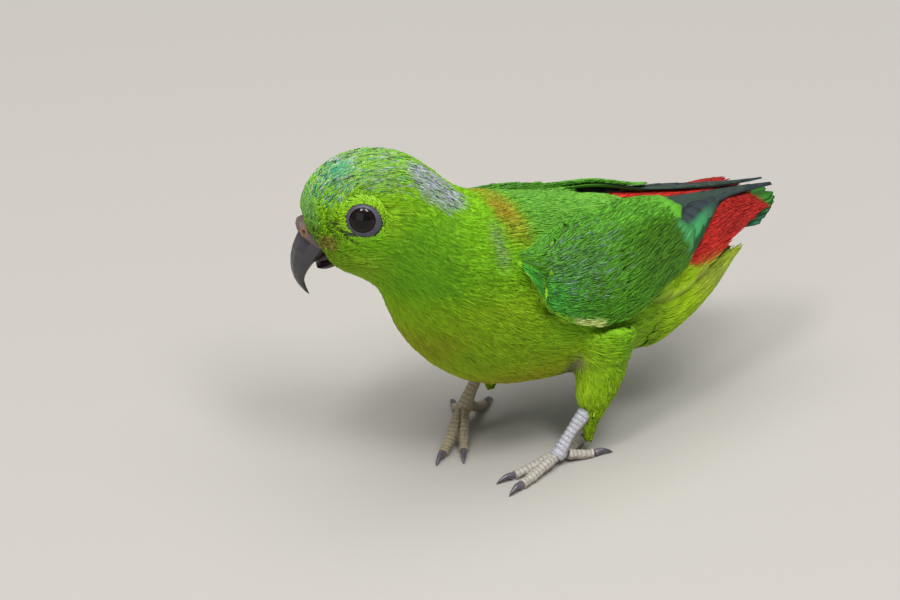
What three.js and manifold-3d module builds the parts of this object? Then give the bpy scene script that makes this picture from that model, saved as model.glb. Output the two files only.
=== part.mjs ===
// A blue-crowned hanging parrot, a hen or young bird, standing on the ground and leaning forward to feed.
// Millimetres, +Z up. The bird faces -X and its left side is -Y. The floor is z = 0.
import * as THREE from "three";
import { mergeVertices } from "three/addons/utils/BufferGeometryUtils.js";
import Module from "manifold-3d";

const wasm = await Module();
wasm.setup();

const gap = 0.3; // clearance kept between neighbouring pieces
const degree = Math.PI / 180;

// Driving sizes of the bird
const headMiddle = { x: -29, z: 55 }; // middle of the skull, in the body's middle plane
const headTurn = 27 * degree; // how far the head looks to the bird's right
const neckPivot = { x: -20, y: 0 }; // upright axis that the head turns about
const neckNormal = { x: -0.807, z: 0.591 }; // from the shoulders up to the head
const neckStart = 38.6; // distance along neckNormal where the neck begins
const neckEnd = 52; // and where the head begins
const turnStart = 33; // the turn is spread from here to neckEnd
const eyeRadius = 2.8;
const lidHeight = 1.45; // the lids' plane above the middle of the eyeball
const socketRadius = 4.15; // clears the eyeball and its lids
const tarsusRadius = 1.35;
const toeRadius = 1.3;
const vaneThick = 0.55; // of every large feather
const vaneSink = 0.35; // how much deeper its root goes into what carries it
const rowStep = 11; // length of a large feather's faces

// The body's outline: where each ring touches the back and the belly, and its half width.
const rings = [
  { back: [-43.7, 53.8], belly: [-38.2, 46.4], wide: 4.2 }, // face, round the bill
  { back: [-43.6, 56.8], belly: [-37.2, 45.4], wide: 7.2 },
  { back: [-41.8, 60.8], belly: [-35.9, 44.7], wide: 9.0 },
  { back: [-38.0, 64.0], belly: [-34.3, 43.9], wide: 10.1 },
  { back: [-31.6, 66.0], belly: [-32.4, 42.8], wide: 10.8 }, // crown and throat
  { back: [-25.2, 65.4], belly: [-30.4, 40.8], wide: 11.2 },
  { back: [-19.4, 61.8], belly: [-28.6, 37.4], wide: 11.9 }, // nape
  { back: [-14.2, 57.3], belly: [-26.6, 32.6], wide: 13.2 },
  { back: [-6.0, 53.4], belly: [-21.9, 24.6], wide: 14.4 }, // breast
  { back: [3.0, 50.4], belly: [-13.2, 17.2], wide: 15.0 },
  { back: [12.5, 47.2], belly: [-0.5, 13.6], wide: 15.0 }, // belly
  { back: [22.0, 43.6], belly: [13.4, 12.7], wide: 14.0 },
  { back: [30.6, 39.8], belly: [24.2, 13.2], wide: 12.4 },
  { back: [38.0, 37.5], belly: [33.2, 16.0], wide: 10.2 },
  { back: [43.4, 36.5], belly: [39.6, 20.6], wide: 8.2 },
  { back: [47.2, 35.7], belly: [43.4, 27.2], wide: 5.6 }, // root of the tail
];

// The same for the surface that the wings lie on: the body's own rings, then wider over the rump and tail.
const wingRings = [
  ...rings.slice(6, 11),
  { back: [22.4, 45.3], belly: [13.4, 12.6], wide: 15.6 },
  { back: [31.6, 42.0], belly: [24.6, 13.2], wide: 14.8 },
  { back: [41.0, 39.7], belly: [36.0, 18.6], wide: 13.2 },
  { back: [51.0, 38.0], belly: [47.5, 26.0], wide: 12.0 },
  { back: [64.0, 36.2], belly: [62.0, 31.0], wide: 10.4 },
];

// And for the red feathers over the rump and tail
const rumpRings = [
  { back: [12.6, 47.2], belly: [4.0, 13.8], wide: 15.0 },
  { back: [22.0, 43.6], belly: [15.0, 14.0], wide: 14.0 },
  { back: [31.0, 40.2], belly: [27.0, 15.8], wide: 12.8 },
  { back: [39.0, 38.2], belly: [36.6, 21.8], wide: 11.2 },
  { back: [46.0, 37.1], belly: [45.0, 29.8], wide: 10.4 },
  { back: [53.0, 36.3], belly: [52.6, 33.4], wide: 9.8 },
  { back: [62.0, 35.4], belly: [61.8, 33.2], wide: 9.0 },
];

// And for the feathers under the tail
const ventRings = [
  { back: [22.0, 43.6], belly: [13.4, 12.4], wide: 14.4 },
  { back: [30.8, 39.8], belly: [24.4, 12.7], wide: 12.9 },
  { back: [38.2, 37.5], belly: [33.5, 15.4], wide: 10.9 },
  { back: [44.0, 36.3], belly: [40.3, 19.4], wide: 9.3 },
  { back: [49.2, 35.4], belly: [45.6, 25.8], wide: 8.3 },
  { back: [55.0, 34.8], belly: [51.4, 30.6], wide: 7.7 },
  { back: [63.0, 34.4], belly: [61.6, 32.6], wide: 7.4 },
];

// Swellings and hollows of the plumage: ring number, angle from the back, height and spread.
const relief = [
  { ring: 3.5, angle: 0.78, height: 0.5, rings: 0.8, spread: 0.25 }, // brow
  { ring: 3.6, angle: 1.28, height: -0.5, rings: 0.6, spread: 0.25 }, // hollow round the eye
  { ring: 1.8, angle: 1.35, height: -0.5, rings: 0.7, spread: 0.3 }, // lores
  { ring: 3.8, angle: 2.1, height: 0.6, rings: 1.0, spread: 0.4 }, // cheek
];

function smooth(from, to, value) {
  return THREE.MathUtils.smoothstep(value, from, to);
}

function curvesOf(list) {
  return {
    last: list.length - 1,
    back: new THREE.SplineCurve(list.map((r) => new THREE.Vector2(...r.back))),
    belly: new THREE.SplineCurve(list.map((r) => new THREE.Vector2(...r.belly))),
    wide: new THREE.SplineCurve(list.map((r, i) => new THREE.Vector2(i, r.wide))),
  };
}

const bodyCurves = curvesOf(rings);
const wingCurves = curvesOf(wingRings);
const rumpCurves = curvesOf(rumpRings);
const ventCurves = curvesOf(ventRings);

function swelling(ring, side) {
  let sum = 0;
  for (const r of relief) {
    const across = (side - r.angle) / r.spread;
    const along = (ring - r.ring) / r.rings;
    sum += r.height * Math.exp(-across * across - along * along);
  }
  return sum;
}

// A point of a ringed surface: t runs from front to rear, angle from the back (0) round to the belly.
function ringPoint(curves, t, angle, grow = 0, power = 0.93) {
  const back = curves.back.getPoint(t);
  const belly = curves.belly.getPoint(t);
  const middle = back.clone().add(belly).multiplyScalar(0.5);
  const up = back.clone().sub(belly).multiplyScalar(0.5);
  const high = up.length();
  up.divideScalar(high);
  const c = Math.sign(Math.cos(angle)) * Math.abs(Math.cos(angle)) ** power;
  const s = Math.sign(Math.sin(angle)) * Math.abs(Math.sin(angle)) ** power;
  const rise = c * (high + grow);
  const wide = curves.wide.getPoint(t).y + grow;
  return new THREE.Vector3(middle.x + up.x * rise, s * wide, middle.y + up.y * rise);
}

function bodyPoint(t, angle, grow = 0) {
  const ring = t * bodyCurves.last;
  const side = Math.abs(Math.atan2(Math.sin(angle), Math.cos(angle)));
  const power = 0.93 - 0.12 * (1 - smooth(4, 7, ring));
  return ringPoint(bodyCurves, t, angle, grow + swelling(ring, side), power);
}

// The point of a ringed surface at a wanted x
function pointAtX(curves, x, angle, grow) {
  let [low, high] = [0, 1];
  for (let i = 0; i < 22; i++) {
    const t = (low + high) / 2;
    if (ringPoint(curves, t, angle, grow).x < x) low = t;
    else high = t;
  }
  return ringPoint(curves, low, angle, grow);
}

// Turns the head and neck to the bird's right; the body stays.
function turned(p) {
  const along = p.x * neckNormal.x + p.z * neckNormal.z;
  const turn = headTurn * smooth(turnStart, neckEnd, along);
  const x = p.x - neckPivot.x;
  const y = p.y - neckPivot.y;
  return new THREE.Vector3(
    neckPivot.x + x * Math.cos(turn) + y * Math.sin(turn),
    neckPivot.y - x * Math.sin(turn) + y * Math.cos(turn),
    p.z,
  );
}

// Closed solids and the cuts between them

function solidOf(geometry) {
  const bare = new THREE.BufferGeometry();
  bare.setAttribute("position", geometry.getAttribute("position"));
  bare.setIndex(geometry.index);
  const merged = mergeVertices(bare, 1e-4);
  const corners = Array.from(merged.index.array);
  const faces = [];
  for (let i = 0; i < corners.length; i += 3) {
    const [a, b, c] = corners.slice(i, i + 3);
    if (a !== b && b !== c && a !== c) faces.push(a, b, c);
  }
  const vertProperties = new Float32Array(merged.attributes.position.array);
  let made = new wasm.Manifold(
    new wasm.Mesh({ numProp: 3, vertProperties, triVerts: new Uint32Array(faces) }),
  );
  if (made.volume() < 0) {
    for (let i = 0; i < faces.length; i += 3) [faces[i], faces[i + 1]] = [faces[i + 1], faces[i]];
    made = new wasm.Manifold(
      new wasm.Mesh({ numProp: 3, vertProperties, triVerts: new Uint32Array(faces) }),
    );
  }
  return made;
}

function geometryOf(solid) {
  const mesh = solid.getMesh();
  const at = new Float32Array(mesh.numVert * 3);
  for (let i = 0; i < mesh.numVert; i++) {
    at.set(mesh.vertProperties.subarray(i * mesh.numProp, i * mesh.numProp + 3), i * 3);
  }
  const geometry = new THREE.BufferGeometry();
  geometry.setAttribute("position", new THREE.BufferAttribute(at, 3));
  geometry.setIndex(new THREE.BufferAttribute(mesh.triVerts, 1));
  return geometry;
}

function join(pieces) {
  return pieces.reduce((whole, piece) => whole.add(piece));
}

// The largest closed surface of a solid, without loose pieces and inner hollows
function largest(solid) {
  const { numProp, numVert, triVerts, vertProperties } = solid.getMesh();
  const owner = Array.from({ length: numVert }, (_, i) => i);
  const find = (i) => {
    while (owner[i] !== i) i = owner[i] = owner[owner[i]];
    return i;
  };
  for (let i = 0; i < triVerts.length; i += 3) {
    owner[find(triVerts[i])] = find(triVerts[i + 1]);
    owner[find(triVerts[i + 1])] = find(triVerts[i + 2]);
  }
  const volumes = new Map();
  const [a, b, c] = [0, 1, 2].map(() => new THREE.Vector3());
  for (let i = 0; i < triVerts.length; i += 3) {
    [a, b, c].forEach((v, k) => v.fromArray(vertProperties, triVerts[i + k] * numProp));
    const surface = find(triVerts[i]);
    volumes.set(surface, (volumes.get(surface) ?? 0) + a.dot(b.cross(c)) / 6);
  }
  const [kept] = [...volumes].reduce((best, next) => (next[1] > best[1] ? next : best));
  const faces = triVerts.filter((_, i) => find(triVerts[i - (i % 3)]) === kept);
  return new wasm.Manifold(new wasm.Mesh({ numProp, vertProperties, triVerts: faces }));
}

// Keeps the part of a solid whose distance along the normal is above the given one.
function above(solid, normal, distance) {
  return solid.trimByPlane([normal.x, normal.y ?? 0, normal.z], distance);
}

function below(solid, normal, distance) {
  return solid.trimByPlane([-normal.x, -(normal.y ?? 0), -normal.z], -distance);
}

// A closed body whose wall point at t (0 to 1) and angle is place(t, angle): a cylinder, reshaped.
function sweep(sides, steps, place) {
  const geometry = new THREE.CylinderGeometry(1, 1, 1, sides, steps);
  const at = geometry.attributes.position;
  const p = new THREE.Vector3();
  const ends = [0, 1].map((t) => {
    const sum = new THREE.Vector3();
    for (let k = 0; k < sides; k++) sum.add(place(t, (k * 2 * Math.PI) / sides));
    return sum.divideScalar(sides);
  });
  for (let i = 0; i < at.count; i++) {
    p.fromBufferAttribute(at, i);
    const t = THREE.MathUtils.clamp(p.y + 0.5, 0, 1);
    const onAxis = Math.hypot(p.x, p.z) < 0.5;
    const side = Math.round((Math.atan2(p.x, p.z) * sides) / (2 * Math.PI));
    const angle = (((side + sides) % sides) * 2 * Math.PI) / sides;
    const to = onAxis ? ends[Math.round(t)] : place(Math.round(t * steps) / steps, angle);
    at.setXYZ(i, to.x, to.y, to.z);
  }
  return solidOf(geometry);
}

// A tube along a curve whose radius is radiusAt(t); flatten squashes it from top to bottom.
function tube(curve, sides, steps, radiusAt, flatten = 1) {
  const up = new THREE.Vector3(0, 0, 1);
  return sweep(sides, steps, (t, angle) => {
    const along = curve.getTangentAt(t);
    const side = new THREE.Vector3().crossVectors(along, up).normalize();
    const top = new THREE.Vector3().crossVectors(side, along);
    const r = radiusAt(t);
    return curve
      .getPointAt(t)
      .addScaledVector(side, r * Math.sin(angle))
      .addScaledVector(top, r * flatten * Math.cos(angle));
  });
}

function spline(...points) {
  return new THREE.CatmullRomCurve3(points.map((p) => new THREE.Vector3(...p)));
}

function ball(middle, radius, sides = 12) {
  const sphere = new THREE.SphereGeometry(radius, sides, Math.round(sides * 0.6));
  sphere.translate(middle.x, middle.y, middle.z);
  return solidOf(sphere);
}

// A thin closed plate: place(u, v, top) for u along it and v across it, split alike on both faces.
function plate(rows, columns, place) {
  const at = [];
  const faces = [];
  const corner = (i, j, top) => (top * (rows + 1) + i) * (columns + 1) + j;
  for (const top of [0, 1]) {
    for (let i = 0; i <= rows; i++) {
      for (let j = 0; j <= columns; j++) at.push(...place(i / rows, (2 * j) / columns - 1, top));
    }
  }
  const quad = (a, b, c, d) => faces.push(a, b, c, a, c, d);
  for (let i = 0; i < rows; i++) {
    for (let j = 0; j < columns; j++) {
      const loop = [[i, j], [i + 1, j], [i + 1, j + 1], [i, j + 1]];
      const [a, b, c, d] = loop.map(([r, k]) => corner(r, k, 1));
      const [e, f, g, h] = loop.map(([r, k]) => corner(r, k, 0));
      faces.push(a, b, c, a, c, d, e, g, f, e, h, g);
    }
  }
  for (let i = 0; i < rows; i++) {
    quad(corner(i, 0, 0), corner(i + 1, 0, 0), corner(i + 1, 0, 1), corner(i, 0, 1));
    quad(corner(i, columns, 1), corner(i + 1, columns, 1), corner(i + 1, columns, 0), corner(i, columns, 0));
  }
  for (let j = 0; j < columns; j++) {
    quad(corner(0, j, 1), corner(0, j + 1, 1), corner(0, j + 1, 0), corner(0, j, 0));
    quad(corner(rows, j, 0), corner(rows, j + 1, 0), corner(rows, j + 1, 1), corner(rows, j, 1));
  }
  const geometry = new THREE.BufferGeometry();
  geometry.setAttribute("position", new THREE.Float32BufferAttribute(at, 3));
  geometry.setIndex(faces);
  return solidOf(geometry);
}

// Head, neck, torso, rump and vent, parted by thin cuts

function bodySolid(grow = 0) {
  return sweep(20, 34, (t, angle) => bodyPoint(t, angle, grow));
}

const body = bodySolid();
const bodyGrown = bodySolid(gap);

// The bill, in the head's own plane: forward is towards -X
function headPoint(forward, up, side = 0) {
  return new THREE.Vector3(headMiddle.x - forward, side, headMiddle.z + up);
}

// A horn piece between an outer and an inner outline, with its half widths.
function horn(outer, inner, widths, grow, bulge) {
  const outerLine = new THREE.SplineCurve(outer.map((p) => new THREE.Vector2(...p)));
  const innerLine = new THREE.SplineCurve(inner.map((p) => new THREE.Vector2(...p)));
  const widthLine = new THREE.SplineCurve(widths.map((w, i) => new THREE.Vector2(i, w)));
  return sweep(10, 9, (t, angle) => {
    const a = outerLine.getPoint(t);
    const b = innerLine.getPoint(t);
    const middle = a.clone().add(b).multiplyScalar(0.5);
    const out = a.clone().sub(b).multiplyScalar(0.5);
    const high = out.length() + grow;
    out.normalize().multiplyScalar(Math.cos(angle) * high);
    const side = Math.sin(angle) * (1 - bulge * Math.cos(angle));
    return headPoint(middle.x + out.x, middle.y + out.y, side * (widthLine.getPoint(t).y + grow));
  });
}

const culmen = [[15.2, -2.6], [16.6, -5.9], [17.1, -9.1], [16.8, -11.9], [15.7, -14.4], [13.7, -16.8]];
const tomium = [[8.8, -5.0], [10.8, -7.1], [12.4, -8.9], [13.9, -11.2], [14.5, -13.6], [13.5, -16.6]];
const gonys = [[6.4, -9.4], [8.6, -10.4], [10.6, -11.0], [12.2, -10.9]];
const lowerEdge = [[7.4, -6.4], [9.3, -8.0], [10.9, -9.3], [12.2, -10.5]];

function upperBill(grow = 0) {
  return horn(culmen, tomium, [3.9, 3.9, 3.2, 2.3, 1.4, 0.12], grow, 0.25);
}

function lowerBill(grow = 0) {
  return horn(gonys, lowerEdge, [3.6, 3.3, 2.7, 1.3], grow, 0.2);
}

// The cere is a soft roll over the base of the bill, with a nostril on each side.
function cereSolid(grow = 0) {
  const arch = (angle) =>
    headPoint(10.0 + 4.7 * Math.cos(angle * 0.9), -6.0 + 4.2 * Math.cos(angle * 0.9), 3.9 * Math.sin(angle));
  const span = 100 * degree;
  const points = [];
  for (let k = -4; k <= 4; k++) points.push(arch((k * span) / 4).toArray());
  return tube(spline(...points), 7, 9, (t) => grow + 0.5 + 0.95 * Math.sin(t * Math.PI) ** 0.8);
}

const cere = cereSolid()
  .subtract(upperBill(gap))
  .subtract(ball(headPoint(14.5, -2.2, -2.6), 0.5, 8))
  .subtract(ball(headPoint(14.5, -2.2, 2.6), 0.5, 8));

// Eyes and lids
const eyeRing = { t: 3.67 / (rings.length - 1), angle: 1.27 };

function eyeFrame(side) {
  const at = bodyPoint(eyeRing.t, eyeRing.angle * side);
  const out = new THREE.Vector3(-0.2, side * 0.95, 0.16).normalize();
  return { at, out, middle: at.clone().addScaledVector(out, 0.15 - lidHeight) };
}

// A lid ring hugs the eyeball; its section is given as distance from the eye's middle and angle from its plane.
const lidSection = [[3.2, 16], [3.2, 35], [3.55, 39], [3.85, 28], [3.75, 14]];

function lidRing(side) {
  const { middle, out } = eyeFrame(side);
  const closed = [...lidSection, lidSection[0]];
  const profile = closed.map(([r, a]) => new THREE.Vector2(r * Math.cos(a * degree), r * Math.sin(a * degree)));
  const ring = new THREE.LatheGeometry(profile, 16);
  ring.applyQuaternion(new THREE.Quaternion().setFromUnitVectors(new THREE.Vector3(0, 1, 0), out));
  ring.translate(middle.x, middle.y, middle.z);
  return solidOf(ring);
}

// The tail is a shallow arch; the slot is the room it takes between rump and vent.
function tailPoint(x, y, height) {
  return [x, y, 38 - 0.098 * (x - 26) - 0.012 * y * y + height];
}

const slotStart = 33.6;
const slotHigh = 0.9 + gap;

function slotHalf(x) {
  return 5.8 + 0.247 * (x - slotStart);
}

function tailSlot() {
  return plate(4, 6, (u, k, top) => {
    const x = slotStart + 30 * u;
    return tailPoint(x, k * slotHalf(x), slotHigh * (2 * top - 1));
  });
}

const flesh = { head: null, neck: null, torso: null, rump: null, vent: null };
let head = above(body, neckNormal, neckEnd + gap / 2);
head = head.subtract(upperBill(gap)).subtract(lowerBill(gap)).subtract(cereSolid(gap));
for (const side of [-1, 1]) {
  head = head.subtract(ball(eyeFrame(side).middle, socketRadius, 14));
}
flesh.head = head;
flesh.neck = below(above(body, neckNormal, neckStart + gap / 2), neckNormal, neckEnd - gap / 2);
const rest = below(body, neckNormal, neckStart - gap / 2);
const rumpCut = { normal: { x: 0.995, z: -0.1 }, distance: 23.5 };
flesh.torso = below(rest, rumpCut.normal, rumpCut.distance - gap / 2);
const rear = above(rest, rumpCut.normal, rumpCut.distance + gap / 2);
const ventCut = { normal: { x: 0.098, z: 0.995 }, distance: 35.6 };
flesh.rump = above(rear, ventCut.normal, ventCut.distance + gap / 2).subtract(tailSlot());
flesh.vent = below(rear, ventCut.normal, ventCut.distance - gap / 2).subtract(tailSlot());

// Wings. In a wing, x is the distance along the body and v runs from its upper edge (0) to its lower (1).

const wingEdge = {
  upper: [[-8, 56], [-4, 48], [6, 30], [20, 16], [34, 6], [50, 2.6], [64, 2]],
  lower: [[-8, 68], [-4, 86], [2, 91], [10, 95], [17, 91], [21, 85], [25, 76], [31, 66], [36.6, 49], [42, 30], [46, 17], [52, 11], [64, 7]],
};

function follow(table, x) {
  const next = Math.max(1, table.findIndex(([at]) => at >= x));
  const [[x0, y0], [x1, y1]] = [table[next - 1], table[next]];
  return THREE.MathUtils.mapLinear(x, x0, x1, y0, y1) * degree;
}

function wingAngle(x, v) {
  const [top, low] = [follow(wingEdge.upper, x), follow(wingEdge.lower, x)];
  return top + (low - top) * v;
}

function wingPoint(side, x, v, height) {
  const p = pointAtX(wingCurves, x, wingAngle(x, v), gap + height);
  return [p.x, p.y * side, p.z];
}

// A closed feather. at(x, across, height) gives its points; width is in mm, the rest of "across" in at's own units.
// Its rows fall on whole steps of x, as those of its neighbours do, so that the faces of the tiers lie parallel.
function vane(at, { from, to, root, tip, width, height, tilt = 0.3, low = -9, high = 9, least = -9 }) {
  const rows = [from];
  for (let x = rowStep * Math.ceil((from + 1.5) / rowStep); x < to - 5; x += rowStep) rows.push(x);
  rows.push(to - 3, to);
  return plate(rows.length - 1, 1, (t, k, top) => {
    const x = rows[Math.round(t * (rows.length - 1))];
    const u = (x - from) / (to - from);
    const line = THREE.MathUtils.lerp(root, tip, u);
    const [a, b] = [at(x, line, height), at(x, line + 0.02, height)];
    const perMm = 0.02 / Math.hypot(a[0] - b[0], a[1] - b[1], a[2] - b[2]);
    const full = x === to ? 0.3 : Math.min(1, 0.55 + 1.2 * u);
    const across = THREE.MathUtils.clamp(line + ((k * width) / 2) * perMm * full, low, high);
    const under = Math.max(least, height - vaneSink * (1 - u));
    return at(x, across, top ? height + vaneThick + (k > 0 ? tilt : 0) : under);
  });
}

// Values spread evenly from a to b: spread(4, 0, 3) gives 0, 1, 2, 3.
function spread(count, a, b) {
  return Array.from({ length: count }, (_, i) => a + ((b - a) * i) / Math.max(1, count - 1));
}

// Each tier of a wing: how many feathers, and their values for the first (lowest) and the last (uppermost).
const wingTiers = [
  { count: 7, from: [12, 18], to: [60, 36.5], root: [0.9, 0.66], tip: [0.62, 0.6], width: 7.2, height: [0.3, 0.5] },
  { count: 5, from: [7, 13], to: [33, 31], root: [0.74, 0.36], tip: [0.66, 0.28], width: 8.4, height: [0.7, 0.85] },
  { count: 2, from: [12, 15], to: [35.5, 39], root: [0.28, 0.12], tip: [0.26, 0.12], width: 7.2, height: [1.0, 1.15] },
  { count: 4, from: [-1, 4], to: [12.5, 15], root: [0.86, 0.2], tip: [0.86, 0.2], width: 9.4, height: [0.9, 1.2] },
  { count: 3, from: [-5, -1], to: [4, 7], root: [0.8, 0.28], tip: [0.78, 0.26], width: 10, height: [1.2, 1.4] },
];
const wingCore = [[-8, 0.14], [-5.5, 0.34], [-1, 0.44], [5, 0.47], [12, 0.48], [22, 0.47], [32, 0.44], [42, 0.2]];

function wing(side) {
  const at = (x, v, height) => wingPoint(side, x, v, height);
  const last = wingCore.length - 1;
  const pieces = [
    plate(last, 4, (u, k, top) => {
      const [x, reach] = wingCore[Math.round(u * last)];
      const full = 0.55 + 0.85 * smooth(20, -8, x) * (1 - k * k);
      return at(x, 0.5 + reach * k, 0.2 + top * full);
    }),
  ];
  for (const tier of wingTiers) {
    const row = ["from", "to", "root", "tip", "height"].map((key) => spread(tier.count, ...tier[key]));
    for (let i = 0; i < tier.count; i++) {
      const [from, to, root, tip, height] = row.map((values) => values[i]);
      pieces.push(vane(at, { from, to, root, tip, height, width: tier.width, low: 0, high: 1, least: 0.2 }));
    }
  }
  return largest(join(pieces).subtract(bodyGrown));
}

// Six pairs of tail feathers, the middle pair uppermost
function tail() {
  const pieces = [];
  for (const side of [-1, 1]) {
    for (let i = 0; i < 6; i++) {
      const to = 60.6 - 0.55 * i ** 1.6;
      const lean = { root: side * (0.6 + 0.55 * i), tip: side * (1.2 + 1.18 * i) };
      const height = 0.33 - 0.2 * i - (side > 0 ? 0.07 : 0);
      pieces.push(vane(tailPoint, { from: 34, to, ...lean, width: 5.2, height, tilt: 0, low: -20, high: 20 }));
    }
  }
  return largest(join(pieces));
}

// Feathers over the rump and under the tail: tiers with their count, reach and spread in radians to either side
const rumpTiers = [
  { count: 3, from: 42, to: 54, tip: 0.6, root: 0.6, width: 8.2, height: 0.2 },
  { count: 3, from: 33, to: 46, tip: 0.95, root: 0.95, width: 11.5, height: 0.35 },
];

const ventTiers = [
  { count: 3, from: 39, to: 47.2, tip: 0.55, root: 0.6, width: 7.2, height: 0.25 },
  { count: 4, from: 33, to: 43.5, tip: 0.95, root: 0.95, width: 8.2, height: 0.45 },
];

function coverts(curves, tiers, middle, base) {
  const way = Math.cos(middle); // 1 above the tail, -1 below it
  const at = (x, angle, height) => {
    const p = pointAtX(curves, x, middle + angle, gap + height);
    const overTail = x > slotStart - 1 && Math.abs(p.y) < slotHalf(x) + 0.4;
    const clear = tailPoint(x, p.y, way * (slotHigh + 0.12 + height))[2];
    return [p.x, p.y, overTail ? way * Math.max(way * p.z, way * clear) : p.z];
  };
  const rows = base.length - 1;
  const pieces = [
    plate(rows, 6, (u, k, top) => {
      const [x, reach] = base[Math.round(u * rows)];
      return at(x, reach * k, 0.5 * top);
    }),
  ];
  for (const { count, from, to, root, tip, width, height } of tiers) {
    for (const share of spread(count, -1, 1)) {
      const lean = { root: root * share, tip: tip * share };
      const end = to - 3 * share * share;
      const low = height + 0.1 * (share > 0 ? 1 : 0) - 0.15 * Math.abs(share);
      pieces.push(vane(at, { from, to: end, ...lean, width, height: low, tilt: 0, least: 0.05 }));
    }
  }
  return largest(join(pieces).subtract(bodyGrown).subtract(tailSlot()));
}

const feathers = {
  wing_left: wing(-1),
  wing_right: wing(1),
  tail_feathers: tail(),
  rump_feathers: coverts(rumpCurves, rumpTiers, 0, [[25, 1.4], [33, 1.42], [44, 1.2], [51, 0.8]]),
  vent_feathers: coverts(ventCurves, ventTiers, Math.PI, [[28, 0.9], [33, 1.05], [42, 0.75], [46, 0.6]]),
};

// Legs and feet

// What differs between the two legs: where the sole is, which way it points and how high it arches.
const legs = {
  left: { side: -1, sole: [0.3, -14.2, 2.1], ankle: [6.4, -14.2, 9.0], heading: 9, arch: 0, hip: [12, -10.5, 24] },
  right: { side: 1, sole: [-6.5, 7.6, 4.4], ankle: [0.2, 9.6, 11.6], heading: -46, arch: 2.6, hip: [6, 10.5, 24] },
};

// Each toe: heading from the foot's own, length to the claw, and thickness.
const toes = {
  inner: { turn: -9, length: 10.4, thick: 0.92 },
  outer: { turn: 10, length: 12.0, thick: 1.0 },
  hind: { turn: 158, length: 7.2, thick: 0.9 },
  back: { turn: -163, length: 8.8, thick: 0.95 },
};

function heading(leg, turn) {
  const angle = (leg.heading + turn) * degree;
  return new THREE.Vector3(-Math.cos(angle), leg.side * Math.sin(angle), 0);
}

function toeCurve(leg, toe) {
  const sole = new THREE.Vector3(...leg.sole);
  const way = heading(leg, toe.turn);
  const at = (run, z) => sole.clone().addScaledVector(way, run).setZ(z).toArray();
  const pad = toePad(toe, 0);
  const arch = leg.arch;
  return spline(
    at(0.6, leg.sole[2]),
    at(toe.length * 0.36, 0.95 * pad(0.36) + 0.45 + arch * 0.7),
    at(toe.length * 0.7, 0.95 * pad(0.67) - 0.1 + arch * 0.22),
    at(toe.length, 0.95 * pad(1) - 0.2),
  );
}

// Pads swell between the joints.
function toePad(toe, grow) {
  return (t) => toeRadius * toe.thick * (1.02 - 0.24 * t + 0.08 * Math.cos(t * 6 * Math.PI)) + grow;
}

function palm(leg, grow = 0) {
  const sphere = new THREE.SphereGeometry(1.75 + grow, 8, 6);
  sphere.scale(1.1, 0.95, 0.82);
  sphere.translate(...leg.sole);
  return solidOf(sphere);
}

function shank(leg, grow = 0) {
  const [a, b] = [leg.sole, leg.ankle];
  const half = [(a[0] + b[0]) / 2 - 0.3, (a[1] + b[1]) / 2, (a[2] + b[2]) / 2 + 0.2];
  const radius = (t) => tarsusRadius * (1 + 0.14 * Math.cos(t * 2 * Math.PI)) + grow;
  return tube(spline(a, half, b), 8, 5, radius).add(ball(new THREE.Vector3(...b), tarsusRadius * 1.18 + grow, 8));
}

function thigh(leg) {
  const [hx, hy, hz] = leg.hip;
  const [ax, ay, az] = leg.ankle;
  const low = Math.max(az - 6.2, 2.2);
  const curve = spline(
    [hx, hy, hz],
    [hx * 0.55 + ax * 0.45 + 1.2, hy * 0.35 + ay * 0.65, hz * 0.45 + az * 0.55],
    [ax + 1.6, ay, az + 1.6],
    [ax + 0.9, ay, low],
  );
  const radii = new THREE.SplineCurve([7.6, 5.2, 2.7, 0.5].map((r, i) => new THREE.Vector2(i, r)));
  return tube(curve, 12, 8, (t) => radii.getPoint(t).y);
}

function claw(leg, toe) {
  const curve = toeCurve(leg, toe);
  const end = curve.getPointAt(1);
  const way = heading(leg, toe.turn);
  const start = end.clone().addScaledVector(curve.getTangentAt(1), gap);
  const at = (run, rise) => start.clone().addScaledVector(way, run).add(new THREE.Vector3(0, 0, rise)).toArray();
  const drop = start.z - 0.12;
  const line = spline(start.toArray(), at(1.3, 0.35), at(2.7, -0.05), at(3.9, -drop));
  return tube(line, 6, 5, (t) => 0.78 * toe.thick * (1 - t) ** 0.75 + 0.07);
}

const floor = { x: 0, z: 1 };
const nodes = {};
for (const [name, leg] of Object.entries(legs)) {
  const foot = shank(leg).add(palm(leg));
  nodes[`thigh_${name}`] = largest(thigh(leg).subtract(bodyGrown).subtract(shank(leg, gap)));
  nodes[`shank_${name}`] = above(foot, floor, 0.0);
  const made = [];
  for (const [kind, toe] of Object.entries(toes)) {
    let piece = tube(toeCurve(leg, toe), 8, 7, toePad(toe, 0), 0.95).subtract(
      shank(leg, gap).add(palm(leg, gap)),
    );
    for (const other of made) piece = piece.subtract(other);
    nodes[`toe_${name}_${kind}`] = largest(above(piece, floor, 0));
    made.push(tube(toeCurve(leg, toe), 8, 7, toePad(toe, gap), 0.95));
    nodes[`claw_${name}_${kind}`] = above(claw(leg, toe), floor, 0);
  }
}

// The finished scene

const colours = {
  head: 0x6fa823, neck: 0x7ab02c, torso: 0x74a01e, rump: 0xb8321f, vent: 0x86ac22,
  eye: 0x16131a, lid: 0x6a6470, cere: 0x7a6a62, upper_bill: 0x2e2a30, lower_bill: 0x3a2c2c,
  thigh: 0x6f9414, shank: 0xa49a90, toe: 0xa39a86, claw: 0x4a4650, wing: 0x3f7f1c, tail: 0x3c7f2a,
};

const bird = new THREE.Group();

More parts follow.
